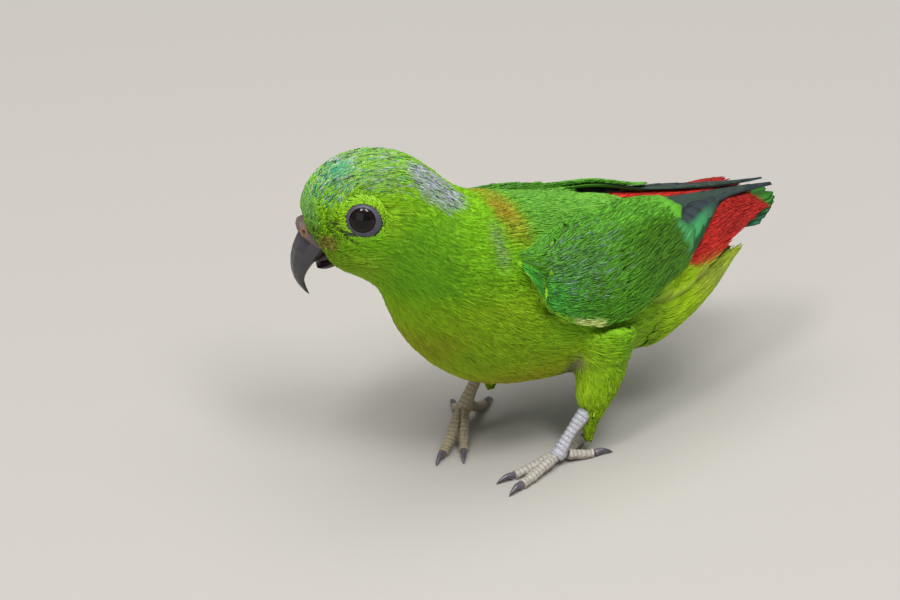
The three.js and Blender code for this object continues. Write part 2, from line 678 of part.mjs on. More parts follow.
function show(name, solid, colour) {
  const geometry = geometryOf(solid);
  const at = geometry.attributes.position;
  const p = new THREE.Vector3();
  for (let i = 0; i < at.count; i++) {
    const to = turned(p.fromBufferAttribute(at, i));
    at.setXYZ(i, to.x, to.y, to.z);
  }
  const material = new THREE.MeshStandardMaterial({ color: colour, roughness: 0.7, metalness: 0 });
  const mesh = new THREE.Mesh(geometry, material);
  mesh.name = name;
  bird.add(mesh);
}

for (const [name, solid] of Object.entries(flesh)) show(name, largest(solid), colours[name]);
for (const [name, side] of [["left", -1], ["right", 1]]) {
  show(`eye_${name}`, ball(eyeFrame(side).middle, eyeRadius, 14), colours.eye);
  show(`lid_${name}`, lidRing(side), colours.lid);
}
show("cere", largest(cere), colours.cere);
show("upper_bill", upperBill(), colours.upper_bill);
show("lower_bill", largest(lowerBill().subtract(upperBill(gap))), colours.lower_bill);
for (const [name, solid] of Object.entries(nodes)) show(name, solid, colours[name.split("_")[0]]);
for (const [name, solid] of Object.entries(feathers)) show(name, solid, colours[name.split("_")[0]]);

// The bird stands centred over the origin, with its toes on the floor.
const reach = new THREE.Box3().setFromObject(bird);
const middle = reach.getCenter(new THREE.Vector3());
bird.position.set(-middle.x, -middle.y, -reach.min.z);

export default bird;
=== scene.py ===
# Looks of a life-size blue-crowned hanging parrot, a hen or young bird, leaning forward to feed.
# The form's sizes are in millimetres, with the bird facing -X, its left side -Y and the floor at z = 0.
import math

import bmesh
import bpy
import numpy as np
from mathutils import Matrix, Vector
from mathutils.bvhtree import BVHTree
from mathutils.kdtree import KDTree


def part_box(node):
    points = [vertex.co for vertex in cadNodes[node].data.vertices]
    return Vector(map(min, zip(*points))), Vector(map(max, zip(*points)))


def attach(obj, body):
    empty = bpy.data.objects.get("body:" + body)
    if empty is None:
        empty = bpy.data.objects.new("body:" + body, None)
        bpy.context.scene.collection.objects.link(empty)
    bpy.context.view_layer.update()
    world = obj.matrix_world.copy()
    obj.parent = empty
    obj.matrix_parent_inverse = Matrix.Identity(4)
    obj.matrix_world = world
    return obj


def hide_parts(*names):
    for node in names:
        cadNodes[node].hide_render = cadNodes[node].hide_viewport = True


mm = 0.001
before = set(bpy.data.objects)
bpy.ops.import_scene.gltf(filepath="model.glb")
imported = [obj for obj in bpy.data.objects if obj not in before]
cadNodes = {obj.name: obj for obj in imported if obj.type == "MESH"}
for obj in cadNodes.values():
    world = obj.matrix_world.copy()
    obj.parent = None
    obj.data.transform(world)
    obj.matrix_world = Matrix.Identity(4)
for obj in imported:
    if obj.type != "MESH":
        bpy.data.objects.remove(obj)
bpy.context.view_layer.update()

# Places in the form: the body's middle plane is y = 0, and the head is turned about the neck's upright axis
form = {
    "leftEye": (-35.71, -1.542, 58.189),
    "rightEye": (-27.99, 13.616, 58.189),
    "headMiddle": (-29.0, 55.0),  # along the bird and up, before the head turns
    "neckPivot": (-20.0, 0.0),
    "headTurn": 27,
    "neckNormal": (-0.807, 0.591),
    "turnFrom": 33,  # distances along the neck's normal where the turn starts and is whole
    "turnTo": 52,
    "roundness": 0.93,
    # One line for each section of the body: back x, back z, belly x, belly z, half width
    "sections": [
        (-43.7, 53.8, -38.2, 46.4, 4.2),
        (-43.6, 56.8, -37.2, 45.4, 7.2),
        (-41.8, 60.8, -35.9, 44.7, 9.0),
        (-38.0, 64.0, -34.3, 43.9, 10.1),
        (-31.6, 66.0, -32.4, 42.8, 10.8),
        (-25.2, 65.4, -30.4, 40.8, 11.2),
        (-19.4, 61.8, -28.6, 37.4, 11.9),
        (-14.2, 57.3, -26.6, 32.6, 13.2),
        (-6.0, 53.4, -21.9, 24.6, 14.4),
        (3.0, 50.4, -13.2, 17.2, 15.0),
        (12.5, 47.2, -0.5, 13.6, 15.0),
        (22.0, 43.6, 13.4, 12.7, 14.0),
        (30.6, 39.8, 24.2, 13.2, 12.4),
        (38.0, 37.5, 33.2, 16.0, 10.2),
        (43.4, 36.5, 39.6, 20.6, 8.2),
        (47.2, 35.7, 43.4, 27.2, 5.6),
    ],
    # Sections that carry the folded wings on past the rump
    "wingSections": [
        (22.4, 45.3, 13.4, 12.6, 15.6),
        (31.6, 42.0, 24.6, 13.2, 14.8),
        (41.0, 39.7, 36.0, 18.6, 13.2),
        (51.0, 38.0, 47.5, 26.0, 12.0),
        (64.0, 36.2, 62.0, 31.0, 10.4),
    ],
    "bodySectionsInWing": 5,  # the wing starts with the body's sections 6 to 10
    # Sections that carry the red feathers over the rump, and those under the tail
    "rumpSections": [
        (12.6, 47.2, 4.0, 13.8, 15.0),
        (22.0, 43.6, 15.0, 14.0, 14.0),
        (31.0, 40.2, 27.0, 15.8, 12.8),
        (39.0, 38.2, 36.6, 21.8, 11.2),
        (46.0, 37.1, 45.0, 29.8, 10.4),
        (53.0, 36.3, 52.6, 33.4, 9.8),
        (62.0, 35.4, 61.8, 33.2, 9.0),
    ],
    "ventSections": [
        (22.0, 43.6, 13.4, 12.4, 14.4),
        (30.8, 39.8, 24.4, 12.7, 12.9),
        (38.2, 37.5, 33.5, 15.4, 10.9),
        (44.0, 36.3, 40.3, 19.4, 9.3),
        (49.2, 35.4, 45.6, 25.8, 8.3),
        (55.0, 34.8, 51.4, 30.6, 7.7),
        (63.0, 34.4, 61.6, 32.6, 7.4),
    ],
    "tailSlot": (33.6, 1.2, 5.8, 0.247),  # start, half height, half width there and its growth
    "hip": {"left": (12.0, -10.5, 24.0), "right": (6.0, 10.5, 24.0)},
    "ankle": {"left": (6.4, -14.2, 9.0), "right": (0.2, 9.6, 11.6)},
}
low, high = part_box("eye_left")
shift = np.array(low + high) / (2 * mm) - np.array(form["leftEye"])
print("frame loaded")


def toForm(points):
    return np.asarray(points, float) / mm - shift


def toRow(points):
    return (np.asarray(points, float) + shift) * mm


def smooth(start, end, value):
    t = np.clip((value - start) / (end - start), 0, 1)
    return t * t * (3 - 2 * t)


def unit(vectors):
    return vectors / np.maximum(np.linalg.norm(vectors, axis=-1, keepdims=True), 1e-9)


def hexColour(code):
    values = np.array([int(code[i : i + 2], 16) / 255 for i in (1, 3, 5)])
    return np.where(values <= 0.04045, values / 12.92, ((values + 0.055) / 1.055) ** 2.4)


# The body's own curves


def turnHead(points):
    pivot = form["neckPivot"]
    normal = form["neckNormal"]
    along = points[..., 0] * normal[0] + points[..., 2] * normal[1]
    angle = math.radians(form["headTurn"]) * smooth(form["turnFrom"], form["turnTo"], along)
    x = points[..., 0] - pivot[0]
    y = points[..., 1] - pivot[1]
    turnedX = pivot[0] + x * np.cos(angle) + y * np.sin(angle)
    turnedY = pivot[1] - x * np.sin(angle) + y * np.cos(angle)
    return np.stack([turnedX, turnedY, points[..., 2]], axis=-1)


def headPlaces(points):
    # How far a point lies forward, up and to the side of the head's middle
    pivot = form["neckPivot"]
    angle = math.radians(form["headTurn"])
    x = points[..., 0] - pivot[0]
    y = points[..., 1] - pivot[1]
    back = pivot[0] + x * math.cos(angle) - y * math.sin(angle)
    side = x * math.sin(angle) + y * math.cos(angle)
    return form["headMiddle"][0] - back, points[..., 2] - form["headMiddle"][1], side


def headPoint(forward, up, side):
    angle = math.radians(form["headTurn"])
    x = form["headMiddle"][0] - forward - form["neckPivot"][0]
    return np.array(
        [
            form["neckPivot"][0] + x * math.cos(angle) + side * math.sin(angle),
            form["neckPivot"][1] - x * math.sin(angle) + side * math.cos(angle),
            form["headMiddle"][1] + up,
        ]
    )


def sectionAt(rows, place):
    # A smooth curve through the rows, with place counted in rows
    rows = np.asarray(rows, float)
    index = np.clip(np.floor(place).astype(int), 0, len(rows) - 2)
    t = (place - index)[..., None]
    before = rows[np.maximum(index - 1, 0)]
    start = rows[index]
    end = rows[index + 1]
    after = rows[np.minimum(index + 2, len(rows) - 1)]
    leave = (end - before) / 2
    arrive = (after - start) / 2
    cubic = (2 * start - 2 * end + leave + arrive) * t**3
    square = (-3 * start + 3 * end - 2 * leave - arrive) * t**2
    return cubic + square + leave * t + start


def sectionPoints(rows, place, angle, grow):
    # angle is measured from the back, with the bird's right side positive
    row = sectionAt(rows, place)
    back = row[..., 0:2]
    belly = row[..., 2:4]
    middle = (back + belly) / 2
    half = np.linalg.norm(back - belly, axis=-1) / 2
    upward = (back - belly) / (2 * half[..., None])
    power = form["roundness"]
    across = np.sign(np.sin(angle)) * np.abs(np.sin(angle)) ** power
    rise = np.sign(np.cos(angle)) * np.abs(np.cos(angle)) ** power
    flat = middle + upward * (rise * (half + grow))[..., None]
    return np.stack([flat[..., 0], across * (row[..., 4] + grow), flat[..., 1]], axis=-1)


def pointsAtX(rows, x, angle, grow):
    # The points of the sections' surface that have the wanted x
    low = np.zeros_like(x)
    high = np.full_like(x, len(rows) - 1.0)
    for i in range(24):
        middle = (low + high) / 2
        before = sectionPoints(rows, middle, angle, grow)[..., 0] < x
        low = np.where(before, middle, low)
        high = np.where(before, high, middle)
    return sectionPoints(rows, (low + high) / 2, angle, grow)


def tailPoints(x, y, height):
    return np.stack([x, y, 38 - 0.098 * (x - 26) - 0.012 * y * y + height], axis=-1)


def lieField():
    # The way the coat lies: along the lines that run from the face to the tail
    places = np.linspace(0, len(form["sections"]) - 1, 121)
    angles = np.radians(np.arange(0, 360, 6))
    placeGrid, angleGrid = np.meshgrid(places, angles, indexing="ij")
    points = turnHead(sectionPoints(form["sections"], placeGrid, angleGrid, 0.0 * placeGrid))
    along = unit(np.gradient(points, axis=0))
    tree = KDTree(placeGrid.size)
    flat = points.reshape(-1, 3)
    for i, point in enumerate(flat):
        tree.insert(point, i)
    tree.balance()
    return tree, along.reshape(-1, 3)


lieTree, lieDirections = lieField()
legSides = ("left", "right")


def legShare(points):
    # 1 on the feathered thigh, 0 on the body
    share = np.zeros(len(points))
    for side in legSides:
        hip = np.array(form["hip"][side])
        ankle = np.array(form["ankle"][side])
        down = unit(ankle - hip)
        along = (points - hip) @ down
        away = np.linalg.norm(points - hip - along[:, None] * down, axis=1)
        share = np.maximum(share, smooth(8.0, 6.0, away) * smooth(23.0, 17.0, points[:, 2]))
    return share


def legDown(points):
    onLeft = points[:, 1] < 0
    left = unit(np.array(form["ankle"]["left"]) - np.array(form["hip"]["left"]) + (2.0, 0, 0))
    right = unit(np.array(form["ankle"]["right"]) - np.array(form["hip"]["right"]) + (2.0, 0, 0))
    return np.where(onLeft[:, None], left, right)


def lieAt(points, normals):
    directions = np.array([lieDirections[lieTree.find(point)[1]] for point in points])
    legs = legShare(points)[:, None]
    directions = unit(directions * (1 - legs) + legDown(points) * legs)
    for eye in ("leftEye", "rightEye"):
        # The feathers part round each eye
        away = points - np.array(form[eye])
        gap = np.linalg.norm(away, axis=1)
        away = away - normals * np.sum(away * normals, axis=1, keepdims=True)
        away = unit(away)
        toward = np.maximum(0, -np.sum(away * directions, axis=1)) * smooth(7.5, 4.6, gap)
        directions = directions + away * (1.5 * toward)[:, None]
    directions = directions - normals * np.sum(directions * normals, axis=1, keepdims=True)
    return unit(directions)


# Meshes and materials


def insideOut(points, faceRuns):
    volume = 0
    middle = points.mean(axis=0)
    for run in faceRuns:
        for k in range(1, run.shape[1] - 1):
            a, b, c = (points[run[:, i]] - middle for i in (0, k, k + 1))
            volume += np.einsum("ij,ij->", a, np.cross(b, c))
    return volume < 0


def makePiece(name, points, faceRuns, slot, replaces=(), body="root"):
    # faceRuns holds arrays of faces, each array with faces of one number of corners; points are in the form
    mesh = bpy.data.meshes.new(name)
    if insideOut(points, faceRuns):
        faceRuns = [run[:, ::-1] for run in faceRuns]
    corners = np.concatenate([run.ravel() for run in faceRuns])
    counts = np.concatenate([np.full(len(run), run.shape[1]) for run in faceRuns])
    starts = np.concatenate([[0], np.cumsum(counts)[:-1]])
    mesh.vertices.add(len(points))
    mesh.vertices.foreach_set("co", toRow(points).astype(np.float32).ravel())
    mesh.loops.add(len(corners))
    mesh.loops.foreach_set("vertex_index", corners.astype(np.int32))
    mesh.polygons.add(len(counts))
    mesh.polygons.foreach_set("loop_start", starts.astype(np.int32))
    mesh.polygons.foreach_set("use_smooth", np.ones(len(counts), bool))
    mesh.update(calc_edges=True)
    mesh.validate()
    piece = bpy.data.objects.new(name, mesh)
    bpy.context.scene.collection.objects.link(piece)
    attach(piece, body)
    if replaces:
        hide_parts(*replaces)
    return piece


def paint(piece, colours, name="tint"):
    attribute = piece.data.color_attributes.new(name, "FLOAT_COLOR", "POINT")
    values = np.ones((len(colours), 4), np.float32)
    values[:, :3] = np.clip(colours, 0, 1)
    attribute.data.foreach_set("color", values.ravel())


def addMap(piece, name, places):
    # places has one pair for each vertex
    corners = np.empty(len(piece.data.loops), np.int32)
    piece.data.loops.foreach_get("vertex_index", corners)
    layer = piece.data.uv_layers.new(name=name)
    layer.data.foreach_set("uv", places[corners].astype(np.float32).ravel())


def addNode(tree, kind, settings=None, inputs=None, links=None):
    node = tree.nodes.new("ShaderNode" + kind)
    for key, value in (settings or {}).items():
        setattr(node, key, value)
    for key, value in (inputs or {}).items():
        node.inputs[key].default_value = value
    for key, source in (links or {}).items():
        tree.links.new(source, node.inputs[key])
    return node


def newMaterial(name):
    material = bpy.data.materials.new(name)
    material.use_nodes = True
    tree = material.node_tree
    tree.nodes.clear()
    shader = addNode(tree, "BsdfPrincipled")
    addNode(tree, "OutputMaterial", links={"Surface": shader.outputs["BSDF"]})
    return material, tree, shader


def reliefTint(tree, shader, shade, height, strength, depth):
    # The painted tint, shaded by a pattern, with relief of the given depth in mm
    tint = addNode(tree, "VertexColor", {"layer_name": "tint"})
    links = {0: tint.outputs["Color"], "Scale": shade}
    colour = addNode(tree, "VectorMath", {"operation": "SCALE"}, links=links)
    bump = addNode(
        tree, "Bump", inputs={"Strength": strength, "Distance": depth * mm}, links={"Height": height}
    )
    tree.links.new(colour.outputs["Vector"], shader.inputs["Base Color"])
    tree.links.new(bump.outputs["Normal"], shader.inputs["Normal"])


def noiseTint(tree, shader, size, noise, shades, strength, depth):
    # Relief and shade from a noise whose grain has the given size in mm
    place = addNode(tree, "TexCoord")
    inputs = {"Scale": 1 / (size * mm), **noise}
    grain = addNode(tree, "TexNoise", inputs=inputs, links={"Vector": place.outputs["Object"]})
    ends = {"To Min": shades[0], "To Max": shades[1]}
    shade = addNode(tree, "MapRange", inputs=ends, links={"Value": grain.outputs["Fac"]})
    reliefTint(tree, shader, shade.outputs["Result"], grain.outputs["Fac"], strength, depth)


# Feather keratin, grown as fine barbs: matt, with a weak gloss that the barbs break up
feather = {
    "barbSpacing": 0.34,  # mm; real barbs lie 0.15 to 0.2 mm apart, drawn coarser so that they show
    "barbSlant": 0.9,
    "roughness": 0.55,
    "ior": 1.55,
    "specular": 0.22,
    "barbShade": 0.30,  # how much darker the gaps between barbs are
    "bumpHeight": 0.05,  # mm
}


def featherKeratin(name, roughness=feather["roughness"], coat=0.0):
    material, tree, shader = newMaterial(name)
    barbs = addNode(tree, "UVMap", {"uv_map": "barbs"})
    split = addNode(tree, "SeparateXYZ", links={0: barbs.outputs[0]})
    turn = addNode(tree, "Math", {"operation": "MULTIPLY"}, {1: 2 * math.pi}, {0: split.outputs[0]})
    wave = addNode(tree, "Math", {"operation": "SINE"}, links={0: turn.outputs[0]})
    shade = addNode(
        tree,
        "MapRange",
        inputs={"From Min": -1, "From Max": 1, "To Min": 1 - feather["barbShade"], "To Max": 1.12},
        links={"Value": wave.outputs[0]},
    )
    reliefTint(tree, shader, shade.outputs["Result"], wave.outputs[0], 0.5, feather["bumpHeight"])
    shader.inputs["Roughness"].default_value = roughness
    shader.inputs["IOR"].default_value = feather["ior"]
    shader.inputs["Specular IOR Level"].default_value = feather["specular"]
    shader.inputs["Coat Weight"].default_value = coat
    shader.inputs["Coat Roughness"].default_value = 0.35
    return material


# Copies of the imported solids


def joinedSolids(names, grow):
    # The named solids in one mesh, grown so that the thin gaps between them close
    joined = bmesh.new()
    for name in names:
        joined.from_mesh(cadNodes[name].data)
    bmesh.ops.remove_doubles(joined, verts=joined.verts, dist=0.002 * mm)
    joined.normal_update()
    for vertex in joined.verts:
        vertex.co += vertex.normal * grow * mm
    mesh = bpy.data.meshes.new("joined")
    joined.to_mesh(mesh)
    joined.free()
    return mesh


def remeshed(names, voxel, grow=0.0, rounds=4):
    # Points and faces of one smooth closed surface over the named solids, in the form
    holder = bpy.data.objects.new("holder", joinedSolids(names, grow))
    bpy.context.scene.collection.objects.link(holder)
    grid = holder.modifiers.new("grid", "REMESH")
    grid.mode = "VOXEL"
    grid.voxel_size = voxel * mm
    soften = holder.modifiers.new("soften", "SMOOTH")
    soften.factor = 0.5
    soften.iterations = rounds
    bpy.context.view_layer.update()
    done = holder.evaluated_get(bpy.context.evaluated_depsgraph_get()).to_mesh()
    points = np.empty(len(done.vertices) * 3)
    done.vertices.foreach_get("co", points)
    points = points.reshape(-1, 3)
    normals = np.empty(len(done.vertices) * 3)
    done.vertices.foreach_get("normal", normals)
    normals = normals.reshape(-1, 3)
    faces = np.array([polygon.vertices[:] for polygon in done.polygons])
    bpy.data.objects.remove(holder)
    return toForm(points - normals * grow * mm), faces, normals


fleshNodes = ("head", "neck", "torso", "rump", "vent", "thigh_left", "thigh_right")
wingNodes = ("wing_left", "wing_right")
hull = {"voxel": 0.5, "grow": 0.35, "rounds": 6}
hullPoints, hullFaces, hullNormals = remeshed(fleshNodes, **hull)
# The guide is the same surface with the wings in it
guidePoints, guideFaces, guideNormals = remeshed(fleshNodes + wingNodes, **hull)
guideTree = BVHTree.FromPolygons(guidePoints.tolist(), guideFaces.tolist())
guideFaceNormals = unit(guideNormals[guideFaces].mean(axis=1))
hullTree = BVHTree.FromPolygons(hullPoints.tolist(), hullFaces.tolist())
hullFaceNormals = unit(hullNormals[hullFaces].mean(axis=1))
print("hull made,", len(hullFaces), "faces")


def solidTree(names):
    joined = bmesh.new()
    for name in names:
        joined.from_mesh(cadNodes[name].data)
    for vertex in joined.verts:
        vertex.co = toForm(vertex.co)
    tree = BVHTree.FromBMesh(joined)
    joined.free()
    return tree


wingTree = solidTree(("wing_left", "wing_right"))
lookTree = solidTree(("cere", "upper_bill", "lower_bill"))


def distances(tree, points, limit):
    found = [tree.find_nearest(point, limit)[3] for point in points]
    return np.array([limit if gap is None else gap for gap in found])


# Markings of the plumage

plumage = {
    "side": "#82c012",
    "back": "#6fb03c",
    "belly": "#a4be16",
    "breast": "#9cc616",
    # olive is painted shade on the underside
    "olive": "#a69c1c",
    "cheek": "#66a61c",
    "lime": "#95c91c",
    "throat": "#9cc02c",
    "nape": "#8ccb1c",
    "crown": "#82a86a",
    "lavender": "#b6b6ce",
    "blueGreen": "#6fa070",
    "turquoise": "#35b598",
    "slate": "#3a4a4a",
    "pale": "#cddccb",
    "lores": "#3b3d32",
    "gape": "#b3924f",
    "gold": "#a9a22e",
    "orange": "#b3922c",
    "greyBand": "#8f9c86",
    "flank": "#92c41a",
    "vent": "#bde61e",
    "yellow": "#bfcf4a",
    "underTail": "#9dbd5e",
    "red": "#cc2f24",
    "redDeep": "#9b241f",
    "redOrange": "#d06a2a",
    "thigh": "#a0c41a",
    # down is painted shade where the thighs meet the belly
    "down": "#8f8a6c",
    "wing": "#52921a",
    "wingFront": "#54b842",
    "wingTop": "#62a930",
    "wingRear": "#42700f",
    # wingSheen is a painted sheen on the wing
    "wingSheen": "#6b9474",
    "teal": "#3c955a",
    "slateTip": "#2c383a",
    "tertial": "#5fa92c",
    "paleEdge": "#dcec8c",
    "tail": "#347c1e",
    "tailTeal": "#3a8a6a",
}
tones = {name: hexColour(code) for name, code in plumage.items()}
axisLine = [
    (-41, 50), (-36, 54), (-28, 53), (-20, 45), (-14, 39), (-5, 34), (6, 30.4), (18, 28.2), (36, 26.7),
    (46, 31),
]


def lay(colours, name, mask):
    return colours + (tones[name] - colours) * mask[:, None]


def near(value, middle, halfWidth, softness):
    # 1 within halfWidth of the middle, falling to 0 over the softness
    return smooth(halfWidth + softness, halfWidth, np.abs(value - middle))


def redLine(x):
    # Height of the red rump's lower edge
    return np.interp(x, [24, 30, 34, 38, 44, 54], [40.0, 34.0, 31.6, 31.2, 32.6, 34.0])


def crownRearReach(forward, side):
    # 1 on the rim of the lilac patch behind the crown, and less inside it
    return ((forward + 7.6) / 5.6) ** 2 + ((side + 2.6) / 4.8) ** 2


def markings(points):
    x, y, z = points.T
    forward, up, side = headPlaces(points)
    axis = np.array(axisLine, float)
    above = z - np.interp(x, axis[:, 0], axis[:, 1])
    wide = np.abs(y)
    colours = np.tile(tones["side"], (len(points), 1))
    colours = lay(colours, "breast", smooth(4, -14, x) * smooth(46, 38, z))
    colours = lay(colours, "belly", smooth(30, 20, z) * smooth(12, 0, x))
    # The low belly and the underside of the breast take olive, darker than the belly's green: painted shade
    # on the underside
    colours = lay(colours, "olive", smooth(24, 17, z) * smooth(4, -8, x) * 0.8)
    colours = lay(colours, "olive", smooth(-19, -25, x) * smooth(38, 30, z) * 0.55)
    colours = lay(colours, "back", smooth(8, 15, above) * smooth(-10, -2, x))
    colours = lay(colours, "flank", smooth(8, 20, x) * smooth(36, 28, z))
    colours = lay(colours, "vent", smooth(22, 32, x))
    colours = lay(colours, "yellow", smooth(33, 37, x) * smooth(20, 27, z) * 0.75)
    colours = lay(colours, "underTail", smooth(37, 44, x) * smooth(30, 24, z) * 0.6)
    colours = lay(colours, "thigh", legShare(points) * 0.8)
    # The down tone is painted shade where the thighs meet the belly: on the far thigh's upper part and in
    # front of the near thigh
    thighShadeReach = np.sqrt(((x - 2.6) / 2.6) ** 2 + ((z - 18.5) / 4.2) ** 2)
    colours = lay(colours, "down", smooth(1.3, 0.5, thighShadeReach) * smooth(7, 10, wide) * 0.8)
    red = smooth(-0.8, 0.8, z - redLine(x)) * smooth(24, 26, x)
    redTone = lay(
        np.tile(tones["red"], (len(points), 1)), "redDeep", smooth(38, 44, x) * near(z, 36.5, 1.2, 1.4) * 0.6
    )
    redTone = lay(redTone, "redOrange", smooth(2.6, 0.4, z - redLine(x)) * near(x, 37.5, 1.6, 2) * 0.8)
    colours = colours + (redTone - colours) * red[:, None]
    # The neck and the mantle
    neck = smooth(-8, -14, x)
    colours = lay(colours, "nape", neck * smooth(0, 8, above) * 0.8)
    colours = lay(colours, "gold", near(x, -9.2, 1.2, 3.4) * smooth(10, 15, above) * 0.65)
    colours = lay(
        colours, "orange", near(x, -9.5, 1.0, 3.0) * near(wide, 5.5, 1.0, 3.4) * smooth(10, 14, above) * 0.6
    )
    colours = lay(
        colours, "greyBand", near(x, -14.6, 0.2, 2.0) * near(z, 50.2, 1.8, 3.4) * smooth(7, 9, wide) * 0.5
    )
    # The head
    onHead = smooth(-15, -10, forward)
    outward = np.abs(side)
    colours = lay(
        colours,
        "cheek",
        onHead * near(forward, -5.5, 4, 6) * near(up, -4, 4, 6) * smooth(4, 7, outward) * 0.5,
    )
    colours = lay(colours, "lime", near(forward, 4.5, 4.5, 3) * near(up, 5, 3.5, 2.5) * 0.8)
    colours = lay(colours, "lime", near(forward, -4, 5, 4) * near(up, 6.5, 1.4, 1.8) * 0.6)
    colours = lay(colours, "throat", smooth(0, 6, forward) * smooth(-2, -6, up) * 0.7)
    colours = lay(colours, "crown", smooth(-4, 1, forward) * smooth(7.0, 9.5, up) * 0.55)
    colours = lay(colours, "blueGreen", smooth(6, 9, forward) * smooth(5.5, 8, up) * 0.6)
    colours = lay(colours, "blueGreen", smooth(12.5, 14, forward) * smooth(-1, 1.5, up) * 0.5)
    crownRear = smooth(1.25, 0.4, crownRearReach(forward, side)) * smooth(2, 4.5, up)
    colours = lay(colours, "lavender", crownRear * 0.6)
    brow = np.sqrt(((forward - 8.6) / 3.2) ** 2 + ((up - 8.8) / 2.4) ** 2 + ((side + 0.8) / 3.4) ** 2)
    colours = lay(colours, "turquoise", smooth(1.1, 0.4, brow) * 0.45)
    colours = lay(colours, "lime", near(forward, 10.2, 1.8, 2.0) * near(up, 1.6, 3.0, 1.6) * 0.75)
    lores = near(up, 0.5 + 0.25 * (forward - 7.3), 0.25, 0.4)
    lores = lores * smooth(5.8, 6.6, forward) * smooth(11.6, 10.6, forward)
    colours = lay(colours, "gape", near(forward, 11.4, 0.7, 1.3) * near(up, -2.7, 0.8, 1.1) * 0.7)
    colours = lay(colours, "crown", smooth(12.2, 13.4, forward) * smooth(4, 1, up) * 0.3)
    colours = lay(colours, "lores", lores * 0.9)
    return colours


def streaks(points, colours, generator):
    # Single barbs on the head take the odd colours of worn and growing feathers
    forward, up, side = headPlaces(points)
    count = len(points)
    draw = generator.random(count)
    pick = generator.random(count)
    crown = smooth(6.0, 9.5, up) * smooth(-16, -10, forward)
    front = smooth(7, 9.5, forward) * smooth(2.5, 5.5, up)
    rear = smooth(1.6, 0.5, crownRearReach(forward, side)) * smooth(1.5, 4, up)
    chance = np.maximum.reduce([crown * 0.36, front * 0.5, rear * 0.7])
    chosen = draw < chance
    names = np.array(["turquoise", "slate", "pale", "lavender", "lime", "nape"])
    odds = np.array([0.06, 0.34, 0.10, 0.14, 0.20, 0.16])
    frontOdds = np.array([0.28, 0.34, 0.14, 0.10, 0.08, 0.06])
    rearOdds = np.array([0.01, 0.27, 0.14, 0.42, 0.08, 0.08])
    table = np.stack([tones[name] for name in names])
    for chances, where in ((odds, crown), (frontOdds, front), (rearOdds, rear)):
        index = np.searchsorted(np.cumsum(chances), pick * 0.999)
        use = chosen & (where > 0.25)
        colours[use] = table[index[use]] * (0.75 + 0.5 * draw[use, None])
    return colours


def varied(colours, generator, amount):
    value = 1 + generator.normal(0, amount, len(colours))
    warm = generator.normal(0, amount * 0.35, len(colours))
    shades = np.stack([value * (1 + warm), value, value * (1 - warm)], axis=1)
    return np.clip(colours * shades, 0, 1)


# The skin, which shows only between the feathers


def eyeGap(points):
    left = np.linalg.norm(points - np.array(form["leftEye"]), axis=1)
    right = np.linalg.norm(points - np.array(form["rightEye"]), axis=1)
    return np.minimum(left, right)


lookGap = distances(lookTree, hullPoints, 3.0)
depthOfCoat = {"head": 0.45, "body": 0.9, "thin": 0.3}


def coatDepth(points):
    forward, up, side = headPlaces(points)
    depth = np.full(len(points), depthOfCoat["body"])
    headShare = smooth(-20, -12, forward)
    depth = depth * (1 - headShare) + depthOfCoat["head"] * headShare
    thinShare = smooth(38, 44, points[:, 0])
    depth = depth * (1 - thinShare) + depthOfCoat["thin"] * thinShare
    lowLeg = smooth(14, 9, points[:, 2])
    return depth * (1 - lowLeg) + depthOfCoat["thin"] * lowLeg


def makeSkin():
    depth = coatDepth(hullPoints)
    depth = depth * smooth(0.4, 1.6, lookGap) * smooth(4.3, 5.2, eyeGap(hullPoints))
    points = hullPoints - hullNormals * depth[:, None]
    skin = makePiece("skin", points, [hullFaces], "body_plumage", fleshNodes)
    # The skin takes the plumage's markings painted darker, to 0.72 of them, as shade between the feathers
    colours = markings(hullPoints) * 0.72
    paint(skin, colours)
    bpy.context.view_layer.objects.active = skin
    skin.select_set(True)
    bpy.ops.object.mode_set(mode="EDIT")
    bpy.ops.mesh.select_all(action="SELECT")
    bpy.ops.uv.smart_project(angle_limit=math.radians(66), island_margin=0.002)
    bpy.ops.object.mode_set(mode="OBJECT")
    skin.select_set(False)
    skin.data.uv_layers[0].name = "OFBake"
    material, tree, shader = newMaterial("thin skin under feathers")
    # Feather roots show as a fine grain about 0.5 mm across
    noiseTint(tree, shader, 0.5, {"Detail": 2.0}, (0.7, 1.1), 0.5, 0.1)
    shader.inputs["Roughness"].default_value = 0.7
    skin.data.materials.append(material)
    return skin


skin = makeSkin()
skinCorners = np.empty(len(skin.data.loops) * 2)
skin.data.uv_layers["OFBake"].data.foreach_get("uv", skinCorners)
skinCorners = skinCorners.reshape(-1, 4, 2)
print("skin made")


# The coat: vanes and single barbs, rooted in the skin and traced along the hull


